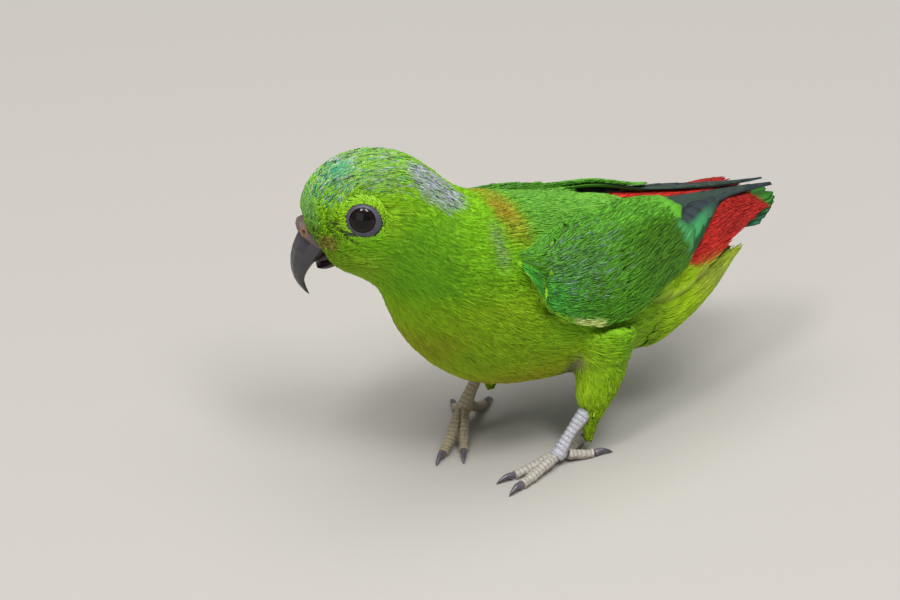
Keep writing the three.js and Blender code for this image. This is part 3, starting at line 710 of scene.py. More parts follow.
def scatter(spacing, keep, seedNumber):
    # Roots about a spacing apart, with the hull's normal and the place on the skin's map at each
    generator = np.random.default_rng(seedNumber)
    corners = hullPoints[hullFaces]
    halves = np.concatenate([corners[:, [0, 1, 2]], corners[:, [0, 2, 3]]])
    maps = np.concatenate([skinCorners[:, [0, 1, 2]], skinCorners[:, [0, 2, 3]]])
    owners = np.concatenate([hullFaces[:, [0, 1, 2]], hullFaces[:, [0, 2, 3]]])
    areas = np.linalg.norm(np.cross(halves[:, 1] - halves[:, 0], halves[:, 2] - halves[:, 0]), axis=1) / 2
    wanted = keep(halves.mean(axis=1), unit(hullNormals[owners].mean(axis=1)))
    areas = areas * wanted
    count = int(areas.sum() / spacing**2 * 5)
    chosen = generator.choice(len(areas), count, p=areas / areas.sum())
    weights = generator.dirichlet((1, 1, 1), count)
    points = np.einsum("ij,ijk->ik", weights, halves[chosen])
    places = np.einsum("ij,ijk->ik", weights, maps[chosen])
    normals = unit(np.einsum("ij,ijk->ik", weights, hullNormals[owners[chosen]]))
    # One root for each cell of a tilted grid keeps them even
    tilt = np.linalg.qr(generator.normal(size=(3, 3)))[0]
    cells = np.floor(points @ tilt / spacing).astype(np.int64) + 1000
    keys = (cells[:, 0] * 4000 + cells[:, 1]) * 4000 + cells[:, 2]
    first = np.unique(keys, return_index=True)[1]
    return points[first], normals[first], places[first]


def traceSpines(points, directions, lengths, shares):
    # Each spine runs along the hull; shares are the places of its points along its length
    count = len(points)
    spines = np.zeros((count, len(shares), 3))
    ups = np.zeros((count, len(shares), 3))
    for i in range(count):
        overWing = points[i][0] < -1 or points[i][2] > 41
        guide = guideTree if overWing else hullTree
        faceNormals = guideFaceNormals if overWing else hullFaceNormals
        place = Vector(points[i])
        way = Vector(directions[i])
        length = lengths[i]
        last = 0.0
        for k, share in enumerate(shares):
            if share > last:
                start = place
                found = guide.find_nearest(place + way * (length * (share - last)))
                place = found[0]
                normal = Vector(faceNormals[found[2]])
                way = place - start
                way -= normal * way.dot(normal)
                way.normalize()
                last = share
            else:
                normal = Vector(faceNormals[guide.find_nearest(place)[2]])
            spines[i, k] = place
            ups[i, k] = normal
    return spines, ups


def tubeFaces(count, rings, section):
    # Faces of closed tubes, each of rings with the section's number of points
    ring, side = np.meshgrid(np.arange(rings - 1), np.arange(section), indexing="ij")
    nextSide = (side + 1) % section
    quads = np.stack(
        [
            ring * section + side,
            ring * section + nextSide,
            (ring + 1) * section + nextSide,
            (ring + 1) * section + side,
        ],
        axis=-1,
    ).reshape(-1, 4)
    startCap = np.arange(section)[::-1][None]
    endCap = (rings - 1) * section + np.arange(section)[None]
    offsets = (np.arange(count) * rings * section)[:, None, None]
    runs = [quads[None] + offsets, startCap[None] + offsets, endCap[None] + offsets]
    return [run.reshape(-1, run.shape[-1]) for run in runs]


def vanePoints(spines, ups, heights, halfWidths, section, fray=None):
    # spines, ups: feathers x rings x 3; heights, halfWidths: feathers x rings; section: (across, rise) pairs
    along = unit(np.gradient(spines, axis=1))
    across = unit(np.cross(ups, along))
    section = np.asarray(section, float)
    middle = spines + ups * heights[..., None]
    sideways = across[:, :, None] * (halfWidths[..., None] * section[:, 0])[..., None]
    rise = ups[:, :, None] * section[None, None, :, 1, None]
    points = middle[:, :, None] + sideways + rise
    if fray is not None:
        points = points + along[:, :, None] * fray[..., None]
    return points


vaneSection = [(-1.0, 0.0), (-0.5, 0.14), (0.0, 0.2), (0.5, 0.14), (1.0, 0.0)]
barbSection = [(-1.0, 0.0), (0.0, 0.12), (1.0, 0.0)]
patch = 0.003


def backFullness(points):
    # The back's feathers stand fuller in the hollow between the folded wings
    x, y, z = points.T
    return 0.9 * near(x, 25, 6, 9) * smooth(6.5, 2.5, np.abs(y)) * smooth(36, 40, z)


def coatPiece(name, slot, roots, growth, material, seedNumber):
    # growth: length, width, shares, widths, heights, section, swing, colour spread
    points, normals, places = roots
    generator = np.random.default_rng(seedNumber)
    count = len(points)
    lie = lieAt(points, normals)
    swing = generator.normal(0, math.radians(growth["swing"]), count)[:, None]
    directions = lie * np.cos(swing) + np.cross(normals, lie) * np.sin(swing)
    size = growth["sizeAt"](points) * generator.uniform(0.82, 1.18, count)
    lengths = growth["length"] * size
    shares = np.array(growth["shares"])
    spines, ups = traceSpines(points, directions, lengths, shares)
    depth = coatDepth(points)[:, None]
    lift = np.array(growth["heights"])[None]
    lift = lift + generator.normal(0, growth["liftSpread"], (count, 1)) * shares[None]
    heights = lift.copy()
    heights += (backFullness(points)[:, None] * smooth(0, 0.6, shares))
    heights[:, 0] = -depth[:, 0] - 0.08
    halfWidths = growth["width"] / 2 * size[:, None] * np.array(growth["widths"])[None]
    section = growth["section"]
    rings = len(shares)
    fray = np.zeros((count, rings, len(section)))
    fray[:, -1] = generator.normal(0, 0.06, (count, len(section))) * lengths[:, None]
    solid = vanePoints(spines, ups, heights, halfWidths, section, fray)
    faces = tubeFaces(count, rings, len(section))
    piece = makePiece(name, solid.reshape(-1, 3), faces, slot)
    colours = varied(markings(points), generator, growth["spread"])
    if growth["streaks"]:
        colours = streaks(points, colours, generator)
    # Painted shade along each feather: darkest at the root, which lies under the feathers over it, and
    # lighter toward the open tip
    rootShade = np.array(growth["shade"])
    spread = colours[:, None, None] * rootShade[None, :, None, None] * np.ones((1, 1, len(section), 1))
    paint(piece, spread.reshape(-1, 3))
    acrossPlace = np.array([pair[0] for pair in section])
    alongPlace = shares[None, :, None] * lengths[:, None, None] - feather["barbSlant"] * np.abs(
        acrossPlace[None, None] * halfWidths[..., None]
    )
    start = generator.random(count)[:, None, None]
    phase = alongPlace / feather["barbSpacing"] + start
    addMap(
        piece, "barbs", np.stack([phase, np.broadcast_to(acrossPlace, phase.shape)], axis=-1).reshape(-1, 2)
    )
    patchU = places[:, 0, None, None] + patch / 2 * acrossPlace[None, None] * np.ones((count, rings, 1))
    patchV = places[:, 1, None, None] + patch * (shares[None, :, None] - 0.5)
    patchV = patchV * np.ones((count, 1, len(section)))
    addMap(piece, "OFBake", np.stack([patchU, patchV], axis=-1).reshape(-1, 2))
    piece.data.uv_layers.active = piece.data.uv_layers["OFBake"]
    piece.data.materials.append(material)
    print(name, count, "feathers")
    return piece


def bodySize(points):
    forward, up, side = headPlaces(points)
    size = np.interp(points[:, 0], [-30, -12, 0, 30, 46], [0.8, 0.85, 1.0, 1.1, 1.5])
    size = size * (1 - 0.35 * legShare(points))
    face = smooth(-16, -6, forward)
    nearFace = smooth(2, 10, forward)
    return size * (1 - face) + (0.62 - 0.26 * nearFace) * face


vaneGrowth = {
    "length": 4.6,
    "width": 2.9,
    "shares": (0.0, 0.3, 0.6, 0.85, 1.0),
    "widths": (0.35, 0.85, 1.0, 0.8, 0.34),
    "heights": (0.0, -0.4, -0.16, -0.04, -0.02),
    # shade: painted shade along the feather, darkest at the root
    "shade": (0.6, 0.8, 0.95, 1.0, 1.05),
    "section": vaneSection,
    "liftSpread": 0.03,
    "swing": 6,
    "sizeAt": bodySize,
    "spread": 0.05,
    "streaks": False,
}
barbGrowth = {
    "length": 4.7,
    "width": 0.27,
    "shares": (0.0, 0.35, 0.7, 1.0),
    "widths": (0.6, 1.0, 0.8, 0.12),
    "heights": (0.0, 0.02, 0.16, 0.22),
    # shade: painted shade along the barb, darkest at the root
    "shade": (0.62, 0.9, 1.04, 1.12),
    "section": barbSection,
    "liftSpread": 0.06,
    "swing": 6,
    "sizeAt": bodySize,
    "spread": 0.12,
    "streaks": True,
}


def openPlaces(points, normals):
    # Where feathers grow: away from the eyes, the bill, the wings' undersides and the tail's coverts
    bare = distances(lookTree, points, 2.0) < 0.5
    covered = np.ones(len(points), bool)
    for move in (0.0, -1.6):
        starts = points - 0.4 * normals + (0, 0, move)
        hits = [wingTree.ray_cast(start, normal, 6.0)[0] for start, normal in zip(starts, normals)]
        covered &= np.array([hit is not None for hit in hits])
    x, y, z = points.T
    hidden = (x > 34) & (z > 34)
    hidden |= (x > -7) & (x < -1) & (np.abs(y) > 12.5) & (z > 34) & (z < 40)
    # The thigh's top lies against the wing
    hidden |= (normals[:, 2] > 0.75) & (x > 8) & (x < 20) & (np.abs(y) > 13) & (z < 31)
    return (eyeGap(points) > 4.1) & ~bare & ~covered & ~hidden & (x < 44)


def regionOf(points):
    forward, up, side = headPlaces(points)
    region = np.full(len(points), "torso", dtype="<U6")
    neck = points[:, 0] * form["neckNormal"][0] + points[:, 2] * form["neckNormal"][1]
    region[neck > 36] = "neck"
    region[neck > 48] = "head"
    rear = points[:, 0] > 25
    region[rear & (points[:, 2] > redLine(points[:, 0]))] = "rump"
    region[rear & (points[:, 2] <= redLine(points[:, 0]))] = "vent"
    region[legShare(points) > 0.5] = "thigh"
    return region


coatRegions = {
    "head": {"slot": "head_plumage", "vaneSpacing": 0.85, "barbSpacing": 0.34},
    "neck": {"slot": "neck_plumage", "vaneSpacing": 1.1, "barbSpacing": 0.46},
    "torso": {"slot": "body_plumage", "vaneSpacing": 1.25, "barbSpacing": 0.5},
    "rump": {"slot": "red_feathers", "vaneSpacing": 1.2, "barbSpacing": 0.55},
    "vent": {"slot": "vent_plumage", "vaneSpacing": 1.2, "barbSpacing": 0.55},
    "thigh": {"slot": "thigh_plumage", "vaneSpacing": 0.9, "barbSpacing": 0.45},
}


def makeCoat():
    plume = featherKeratin("body feather keratin")
    seedNumber = 10
    for name, region in coatRegions.items():
        def keep(points, normals, wanted=name):
            return openPlaces(points, normals) & (regionOf(points) == wanted)

        for kind, growth in (("vane", vaneGrowth), ("barb", barbGrowth)):
            roots = scatter(region[kind + "Spacing"], keep, seedNumber)
            pieceName = "coat_" + name + "_" + kind + "s"
            coatPiece(pieceName, region["slot"], roots, growth, plume, seedNumber + 1)
            seedNumber += 2


makeCoat()
print("coat made")


# Large feathers in tiers, laid on the sections that carry them

wing = {
    "sections": form["sections"][6 : 6 + form["bodySectionsInWing"]] + form["wingSections"],
    "lift": 0.3,
    # x, then degrees from the back, along the wing's upper and lower edges
    "upperEdge": [(-8, 56), (-4, 48), (6, 30), (20, 16), (34, 6), (50, 2.6), (64, 2)],
    "lowerEdge": [
        (-8, 68), (-4, 86), (2, 91), (10, 95), (17, 91), (21, 85), (25, 76), (31, 66), (36.6, 49), (42, 30),
        (46, 17), (52, 11), (64, 7),
    ],
    "core": [(-8, 0.14), (-5.5, 0.34), (-1, 0.44), (5, 0.47), (12, 0.48), (22, 0.47), (32, 0.44), (42, 0.2)],
    # Each tier: from its lowest feather to its uppermost one
    "tiers": {
        "primaries": {"count": 9, "start": (12, 18), "end": (60, 36), "root": (0.9, 0.66), "tip": (0.62, 0.6),
                      "width": 6.8, "height": (0.2, 0.55), "tilt": 0.12},
        "innerPrimaries": {
            "count": 5, "start": (16, 16), "end": (55, 44),
            "root": (0.5, 0.06), "tip": (0.34, 0.04),
                           "width": 7.4, "height": (0.42, 0.6), "tilt": 0.1},
        "secondaries": {
            "count": 9, "start": (4, 12), "end": (35, 30),
            "root": (0.78, 0.3), "tip": (0.74, 0.22),
                        "width": 7.0, "height": (0.65, 0.95), "tilt": 0.12},
        "tertials": {"count": 3, "start": (9, 12), "end": (35, 33), "root": (0.3, 0.1), "tip": (0.3, 0.1),
                     "width": 6.8, "height": (1.0, 1.15), "tilt": 0.12},
        "greaterCoverts": {
            "count": 10, "start": (0, 5), "end": (13, 17),
            "root": (0.95, 0.12), "tip": (0.95, 0.12),
                           "width": 5.4, "height": (0.95, 1.15), "tilt": 0.08},
        "medianCoverts": {
            "count": 12, "start": (-3, 1), "end": (7, 12),
            "root": (0.95, 0.1), "tip": (0.95, 0.1),
                          "width": 4.2, "height": (1.15, 1.3), "tilt": 0.06},
    },
}


def follow(table, x):
    table = np.array(table, float)
    return np.interp(x, table[:, 0], table[:, 1])


def wingPoints(x, share, height, side):
    # share runs from 0 at the wing's upper edge to 1 at its lower edge
    top = follow(wing["upperEdge"], x)
    angle = np.radians(top + (follow(wing["lowerEdge"], x) - top) * share)
    points = pointsAtX(wing["sections"], x, angle, wing["lift"] + height)
    points[..., 1] *= side
    return points


def coverPoints(x, angle, height, rows, way):
    # way is 1 for the feathers over the tail and -1 for those under it
    middle = 0 if way > 0 else math.pi
    points = pointsAtX(rows, x, middle + angle, wing["lift"] + height)
    slotStart, slotHigh, slotHalf, slotGrowth = form["tailSlot"]
    y = points[..., 1]
    overTail = (x > slotStart - 1) & (np.abs(y) < slotHalf + slotGrowth * (x - slotStart) + 0.4)
    clear = tailPoints(x, y, way * (slotHigh - 0.5 + height))[..., 2]
    points[..., 2] = np.where(overTail, way * np.maximum(way * points[..., 2], way * clear), points[..., 2])
    return points


def layFeathers(at, x, line, height, halfWidth, section, tilt=0.0, low=-9, high=9):
    # x, line, height and halfWidth have one value for each feather and ring
    # line counts in the surface's own units
    step = 0.02
    span = np.linalg.norm(at(x, line, height) - at(x, line + step, height), axis=-1)
    perMm = step / np.maximum(span, 1e-4)
    section = np.asarray(section, float)
    across = line[..., None] + section[:, 0] * (halfWidth * perMm)[..., None]
    across = np.clip(across, low, high)
    rise = height[..., None] + section[:, 1] + tilt * section[:, 0]
    return at(np.broadcast_to(x[..., None], across.shape).copy(), across, rise), across


flightSection = [
    (-1.0, 0.0), (-0.7, 0.08), (-0.3, 0.14), (-0.06, 0.17), (0.0, 0.26), (0.06, 0.17),
    (0.35, 0.14), (0.7, 0.08), (1.0, 0.0),
]
smallSection = [(-1.0, 0.0), (-0.5, 0.1), (0.0, 0.15), (0.5, 0.1), (1.0, 0.0)]
barbThread = [(-1.0, 0.0), (0.0, 0.1), (1.0, 0.0)]


class FeatherPile:
    # Gathers many feathers into one piece
    def __init__(self):
        self.points = []
        self.colours = []
        self.barbs = []
        self.maps = []
        self.faces = [[], [], []]
        self.offset = 0

    def add(self, points, colours, phase, mapPlaces):
        count, rings, section = points.shape[:3]
        for group, run in zip(self.faces, tubeFaces(count, rings, section)):
            group.append(run + self.offset)
        self.offset += count * rings * section
        self.points.append(points.reshape(-1, 3))
        self.colours.append(colours.reshape(-1, 3))
        self.barbs.append(np.stack([phase, phase * 0], axis=-1).reshape(-1, 2))
        self.maps.append(mapPlaces.reshape(-1, 2))

    def finish(self, name, slot, replaces, material):
        faces = []
        for size in (4, 9, 5, 3):
            runs = [run for group in self.faces for run in group if run.shape[1] == size]
            if runs:
                faces.append(np.concatenate(runs))
        piece = makePiece(name, np.concatenate(self.points), faces, slot, replaces)
        paint(piece, np.concatenate(self.colours))
        addMap(piece, "barbs", np.concatenate(self.barbs))
        addMap(piece, "OFBake", np.concatenate(self.maps))
        piece.data.uv_layers.active = piece.data.uv_layers["OFBake"]
        piece.data.materials.append(material)
        print(name, sum(len(run) for run in faces), "faces")
        return piece


def barbPhase(lengths, shares, section, halfWidth, start):
    section = np.asarray(section, float)
    along = shares[None, :, None] * lengths[:, None, None]
    slant = feather["barbSlant"] * np.abs(section[:, 0] * halfWidth[..., None])
    return (along - slant) / feather["barbSpacing"] + start[:, None, None]


def patches(rootU, rootV, shares, section, size=patch):
    section = np.asarray(section, float)
    rings = len(shares)
    u = rootU[:, None, None] + size / 2 * section[:, 0] * np.ones((len(rootU), rings, 1))
    v = rootV[:, None, None] + size * (shares[None, :, None] - 0.5) * np.ones((len(rootU), 1, len(section)))
    return np.stack([u, v], axis=-1)


def tiles(first, count, perSide, shares, section):
    # One tile for each large feather
    section = np.asarray(section, float)
    index = first + np.arange(count)
    u = (index % perSide)[:, None, None] + 0.5 + 0.42 * section[:, 0] * np.ones((count, len(shares), 1))
    v = (index // perSide)[:, None, None] + 0.08 + 0.84 * shares[None, :, None]
    v = v * np.ones((count, 1, len(section)))
    return np.stack([u / perSide, v / perSide], axis=-1)


def roundedEnd(shares, start=0.86):
    return np.sqrt(np.clip(1 - np.clip((shares - start) / (1.0 - start), 0, 1) ** 2, 0.03, 1))


def wingColours(x, share, tier, across):
    # across runs from -1 at the inner web to 1 at the outer web
    shape = x.shape
    x, share, across = (value.ravel() for value in (x, share, across))
    colours = np.tile(tones["wing"], (len(x), 1))
    colours = lay(colours, "wingFront", smooth(10, -4, x) * smooth(0.35, 0.75, share) * 0.85)
    # A faint grey-blue sheen painted over the middle of the wing's front
    colours = lay(colours, "wingSheen", near(x, 4, 4, 5) * near(share, 0.42, 0.1, 0.2) * 0.18)
    colours = lay(colours, "wingTop", smooth(0.42, 0.14, share))
    colours = lay(colours, "wingRear", smooth(13, 26, x) * smooth(0.25, 0.5, share) * 0.8)
    if tier == "innerPrimaries":
        colours = lay(colours, "slateTip", smooth(20, 27, x) * 0.95)
    if tier == "primaries":
        base = lay(
            np.tile(tones["slateTip"], (len(x), 1)), "teal", smooth(-0.1, 0.2, across) * smooth(44, 36, x)
        )
        colours = base + (colours - base) * smooth(29, 23, x)[:, None]
    if tier == "secondaries":
        colours = lay(colours, "slateTip", smooth(0.1, -0.6, across) * 0.35)
        colours = lay(colours, "teal", smooth(27, 32, x) * smooth(0.3, 0.55, share) * 0.7)
    if tier == "tertials":
        colours = lay(colours, "tertial", np.full(len(x), 0.9))
    colours = lay(colours, "paleEdge", smooth(0.93, 0.965, share) * near(x, 5.5, 2.8, 1.5) * 0.95)
    colours = lay(colours, "lime", smooth(0.93, 0.98, share) * smooth(3, 0, x) * 0.7)
    return colours.reshape(*shape, 3)


def wingPiece(sideName, side, material):
    generator = np.random.default_rng(71 + side)

    def at(x, share, height):
        return wingPoints(x, share, height, side)

    pile = FeatherPile()
    tile = 0
    rings = 15
    shares = np.linspace(0, 1, rings)
    for tierName, tier in wing["tiers"].items():
        count = tier["count"]
        order = np.linspace(0, 1, count)[:, None]

        def between(key):
            return tier[key][0] + (tier[key][1] - tier[key][0]) * order

        start = between("start")
        end = between("end") + generator.normal(0, 0.25, (count, 1))
        tip = between("tip") + generator.normal(0, 0.01, (count, 1))
        x = start + (end - start) * shares
        line = between("root") + (tip - between("root")) * shares
        height = between("height") - 0.4 * (1 - shares) + 0 * x
        taper = np.interp(shares, [0, 0.15, 0.5, 0.85, 1], [0.5, 0.85, 1, 0.95, 0.85])
        widths = tier["width"] / 2 * taper * roundedEnd(shares)
        halfWidth = widths[None] * generator.uniform(0.95, 1.05, (count, 1))
        halfWidth = halfWidth * (1 + generator.normal(0, 0.012, (count, rings)))
        points, across = layFeathers(at, x, line, height, halfWidth, flightSection, -tier["tilt"], 0, 1)
        section = np.array(flightSection)
        webs = section[:, 0] * np.ones(points.shape[:3])
        colours = wingColours(x[..., None] * np.ones(len(section)), across, tierName, webs)
        # Each feather takes a random tone, and its two edges are painted darker as shade where the feathers
        # overlap
        shade = (1 + generator.normal(0, 0.05, (count, 1, 1))) * (1 - 0.22 * np.abs(section[:, 0]) ** 4)
        colours = colours * (shade * np.ones(points.shape[:3]))[..., None]
        lengths = np.abs(end - start)[:, 0]
        phase = barbPhase(lengths, shares, flightSection, halfWidth, generator.random(count))
        pile.add(points, colours, phase, tiles(tile, count, 8, shares, flightSection))
        tile += count
    # Small coverts over the wing's front, each row lying over the one behind it
    shares = np.array((0.0, 0.3, 0.6, 0.85, 1.0))
    spots = []
    for row, rowX in enumerate(np.arange(9.0, -8.5, -1.5)):
        bottom = 0.985 if rowX < 6 else 0.9
        ends = at(np.array([rowX, rowX]), np.array([0.0, 1.0]), np.array([1.0, 1.0]))
        span = np.linalg.norm(ends[0] - ends[1])
        number = max(3, int(span * 1.25 / 1.9))
        lines = np.linspace(0.02, bottom, number) + (row % 2) * 0.5 * (bottom / number)
        spots.append(np.stack([np.full(number, rowX), np.clip(lines, 0.01, 0.985)], axis=1))
    spots = np.concatenate(spots)
    spots = spots + generator.normal(0, 1, spots.shape) * (0.3, 0.012)
    lengths = generator.uniform(4.2, 5.4, len(spots)) * np.interp(spots[:, 0], [-8, 4], [0.75, 1])
    x = spots[:, :1] + lengths[:, None] * shares
    line = spots[:, 1:] + generator.normal(0, 0.01, (len(spots), 1)) * shares
    height = np.interp(spots[:, 0], [-8, -4, 9], [1.1, 1.42, 1.25])[:, None]
    height = height + np.array((-0.55, -0.3, -0.05, 0.08, 0.1))
    halfWidth = 1.55 * np.array((0.4, 0.85, 1.0, 0.8, 0.34)) * generator.uniform(0.9, 1.1, (len(spots), 1))
    points, across = layFeathers(at, x, line, height, halfWidth, smallSection, 0.0, 0, 1)
    colours = wingColours(x[..., None] * np.ones(5), across, "small", across)
    colours = varied(colours.reshape(-1, 3), generator, 0.0).reshape(colours.shape)
    # Painted shade along each covert: darkest at the root under the row over it, lighter toward the open tip
    rootShade = np.array((0.7, 0.85, 1, 1.06, 1.1))[None, :, None, None]
    tone = (1 + generator.normal(0, 0.08, (len(spots), 1, 1, 1))) * rootShade
    phase = barbPhase(lengths, shares, smallSection, halfWidth, generator.random(len(spots)))
    pile.add(
        points,
        colours * tone,
        phase,
        patches((spots[:, 0] + 10) / 80, spots[:, 1] * 0.5 + 0.4, shares, smallSection),
    )
    pile.finish("wing_" + sideName + "_vanes", "wing_feathers", ("wing_" + sideName,), material)
    # Single barbs that catch the light along the wing
    pile = FeatherPile()
    shares = np.array((0.0, 0.35, 0.7, 1.0))
    count = 4200
    startX = generator.uniform(-8.5, 29, count)
    startLine = generator.uniform(0.0, 1.0, count)
    lengths = generator.uniform(1.6, 3.4, count)
    slope = np.interp(startX, [-8, 8, 30], [0.0, -0.004, -0.008])[:, None]
    slope = slope + generator.normal(0, 0.006, (count, 1))
    x = startX[:, None] + lengths[:, None] * shares
    line = startLine[:, None] + slope * lengths[:, None] * shares
    top = np.interp(x, [-8, -4, 6, 14, 20, 32], [1.2, 1.62, 1.62, 1.35, 1.15, 1.05])
    height = top + np.array((-0.35, 0.02, 0.12, 0.14)) + generator.normal(0, 0.05, (count, 1))
    halfWidth = 0.13 * np.array((0.6, 1.0, 0.8, 0.15)) * generator.uniform(0.7, 1.3, (count, 1))
    points, across = layFeathers(at, x, line, height, halfWidth, barbThread, 0.0, 0, 1)
    colours = wingColours(x[..., None] * np.ones(3), across, "small", across)
    tone = 1 + generator.normal(0, 0.2, (count, 1, 1, 1)) + 0 * colours
    # A fifth of the barbs in that zone take the sheen tone: painted sheen
    blue = (generator.random(count) < 0.2 * near(startX, 4, 6, 7) * near(startLine, 0.4, 0.2, 0.25))
    colours = np.where(blue[:, None, None, None], tones["wingSheen"], colours)
    phase = barbPhase(lengths, shares, barbThread, halfWidth, generator.random(count))
    pile.add(
        points, colours * tone, phase, patches((startX + 10) / 80, startLine * 0.5 + 0.4, shares, barbThread)
    )
    pile.finish("wing_" + sideName + "_barbs", "wing_feathers", (), material)


def wingBase(sideName, side, material):
    # A thin pad that closes the wing beneath its vanes
    columns = 30
    rows = 12
    xs = np.linspace(wing["core"][0][0], wing["core"][-1][0], columns)
    reach = follow(wing["core"], xs)
    lines = 0.5 + reach[:, None] * np.linspace(-1, 1, rows)[None]
    grid = np.broadcast_to(xs[:, None], lines.shape).copy()
    bulge = 1 - np.linspace(-1, 1, rows)[None] ** 2
    topHeight = 0.25 + np.interp(xs, [-8, 4, 20], [0.75, 0.75, 0.1])[:, None] * bulge
    top = wingPoints(grid, lines, topHeight, side).reshape(-1, 3)
    under = wingPoints(grid, lines, np.full_like(lines, -0.05), side).reshape(-1, 3)
    quads = []
    for i in range(columns - 1):
        for j in range(rows - 1):
            a = i * rows + j
            quads.append((a, a + 1, a + rows + 1, a + rows))
    quads = np.array(quads)
    total = columns * rows
    rim = [i * rows for i in range(columns)] + [(columns - 1) * rows + j for j in range(1, rows)]
    rim += [i * rows + rows - 1 for i in range(columns - 2, -1, -1)] + [j for j in range(rows - 2, 0, -1)]
    edge = np.array([(a, b, b + total, a + total) for a, b in zip(rim, rim[1:] + rim[:1])])
    faces = [np.concatenate([quads, quads[:, ::-1] + total, edge])]
    points = np.concatenate([top, under])
    piece = makePiece("wing_" + sideName + "_base", points, faces, "wing_feathers")
    x = points[:, 0]
    # The pad takes the wing's colours painted darker, to 0.8 of them, as shade beneath the vanes
    colours = wingColours(x, np.concatenate([lines.ravel(), lines.ravel()]), "small", x) * 0.8
    paint(piece, colours)
    places = np.stack([(x + 10) / 80, np.concatenate([lines.ravel(), lines.ravel()]) * 0.5], axis=-1)
    addMap(piece, "barbs", places * 0)
    addMap(piece, "OFBake", places)
    piece.data.materials.append(material)


flightKeratin = featherKeratin("flight feather keratin", 0.45, 0.04)
for sideName, side in (("left", -1), ("right", 1)):
    wingBase(sideName, side, flightKeratin)
    wingPiece(sideName, side, flightKeratin)
print("wings made")


# Feathers over and under the tail

covers = {
    "rump": {
        "way": 1, "rows": "rumpSections", "tips": np.arange(55.0, 29.0, -1.9),
        "reach": [(25, 1.5), (38, 1.5), (45, 1.15), (55, 0.62)],
        "length": 9.5, "width": 4.6, "pitch": 2.1,
        "slot": "red_feathers", "replaces": ("rump_feathers",),
        "barbs": 5200, "full": 0.9, "tuck": 0.5, "sink": 0.0,
    },
    "vent": {
        "way": -1, "rows": "ventSections", "tips": np.arange(48.0, 31.0, -1.7),
        "reach": [(25, 1.5), (36, 1.75), (42, 1.75), (48, 1.5)],
        "length": 8.5, "width": 4.2, "pitch": 2.0,
        "slot": "vent_plumage", "replaces": ("vent_feathers",),
        "barbs": 4600, "full": 0.0, "tuck": 0.7, "sink": 0.4,
    },
}


def coverPiece(name, cover, material):
    generator = np.random.default_rng(90 + cover["way"])
    rows = form[cover["rows"]]
    way = cover["way"]

    def at(x, angle, height):
        return coverPoints(x, angle, height, rows, way)

    def reachAt(x):
        return follow(cover["reach"], x)

    def fullness(x, angle):
        # The coverts fill the hollow beneath the wings and tuck in at their edges
        edge = smooth(0.72, 1.0, np.abs(angle) / reachAt(x)) * smooth(50, 44, x)
        return cover["full"] * near(x, 40, 5, 9) * smooth(1.3, 0.2, np.abs(angle)) - cover["tuck"] * edge

    pile = FeatherPile()
    shares = np.array((0.0, 0.25, 0.5, 0.75, 0.9, 1.0))
    spots = []
    for row, tip in enumerate(cover["tips"]):
        reach = reachAt(tip)
        ends = at(np.array([tip, tip]), np.array([reach, 0.0]), np.array([0.0, 0.0]))
        number = 2 * max(1, int(np.linalg.norm(ends[0] - ends[1]) * 1.15 / cover["pitch"])) + row % 2
        for angle in np.linspace(-reach, reach, number):
            spots.append((tip - 2.2 * (angle / max(reach, 0.1)) ** 2, angle, row / len(cover["tips"])))
    spots = np.array(spots)
    count = len(spots)
    tips = spots[:, 0] + generator.normal(0, 0.35, count)
    lengths = cover["length"] * generator.uniform(0.85, 1.1, count)
    x = tips[:, None] - lengths[:, None] * (1 - shares)
    angles = spots[:, 1:2] + generator.normal(0, 0.02, (count, 1)) * shares
    height = spots[:, 2:3] * 0.35 + np.array((-0.35, -0.2, 0.0, 0.16, 0.24, 0.26))
    height = height + generator.normal(0, 0.03, (count, 1))
    height = height - cover["sink"]
    height = height + fullness(x, angles)
    halfWidth = cover["width"] / 2 * np.array((0.4, 0.75, 1.0, 0.95, 0.7, 0.32))
    halfWidth = halfWidth * generator.uniform(0.88, 1.12, (count, 1))
    points, across = layFeathers(at, x, angles, height, halfWidth, smallSection)
    colours = markings(points.reshape(-1, 3)).reshape(points.shape)
    # Painted shade along each covert: darkest at the root under the feathers over it, lighter toward the open
    # tip
    rootShade = np.array((0.7, 0.8, 0.92, 1.0, 1.06, 1.1))[None, :, None, None]
    tone = (1 + generator.normal(0, 0.07, (count, 1, 1, 1))) * rootShade
    phase = barbPhase(lengths, shares, smallSection, halfWidth, generator.random(count))
    pile.add(
        points, colours * tone, phase, patches((tips - 20) / 45, angles[:, 0] / 4 + 0.5, shares, smallSection)
    )
    shares = np.array((0.0, 0.35, 0.7, 1.0))
    count = cover["barbs"]
    startX = generator.uniform(25, cover["tips"][0] - 3, count)
    startAngle = generator.uniform(-1, 1, count) * reachAt(startX)
    lengths = generator.uniform(2.0, 3.8, count)
    x = startX[:, None] + lengths[:, None] * shares
    angles = startAngle[:, None] + generator.normal(0, 0.02, (count, 1)) * shares
    row = np.interp(startX, [cover["tips"][-1], cover["tips"][0]], [1, 0])[:, None]
    height = 0.35 * row + np.array((-0.1, 0.3, 0.42, 0.46))
    height = height + generator.normal(0, 0.06, (count, 1)) - cover["sink"]
    height = height + fullness(x, angles)
    halfWidth = 0.13 * np.array((0.6, 1.0, 0.8, 0.15)) * generator.uniform(0.7, 1.3, (count, 1))
    points, across = layFeathers(at, x, angles, height, halfWidth, barbThread)
    colours = markings(points.reshape(-1, 3)).reshape(points.shape)
    tone = 1 + generator.normal(0, 0.15, (count, 1, 1, 1)) + 0 * colours
    phase = barbPhase(lengths, shares, barbThread, halfWidth, generator.random(count))
    pile.add(
        points, colours * tone, phase, patches((startX - 20) / 45, startAngle / 4 + 0.5, shares, barbThread)
    )
    pile.finish(name + "_coverts", cover["slot"], cover["replaces"], material)


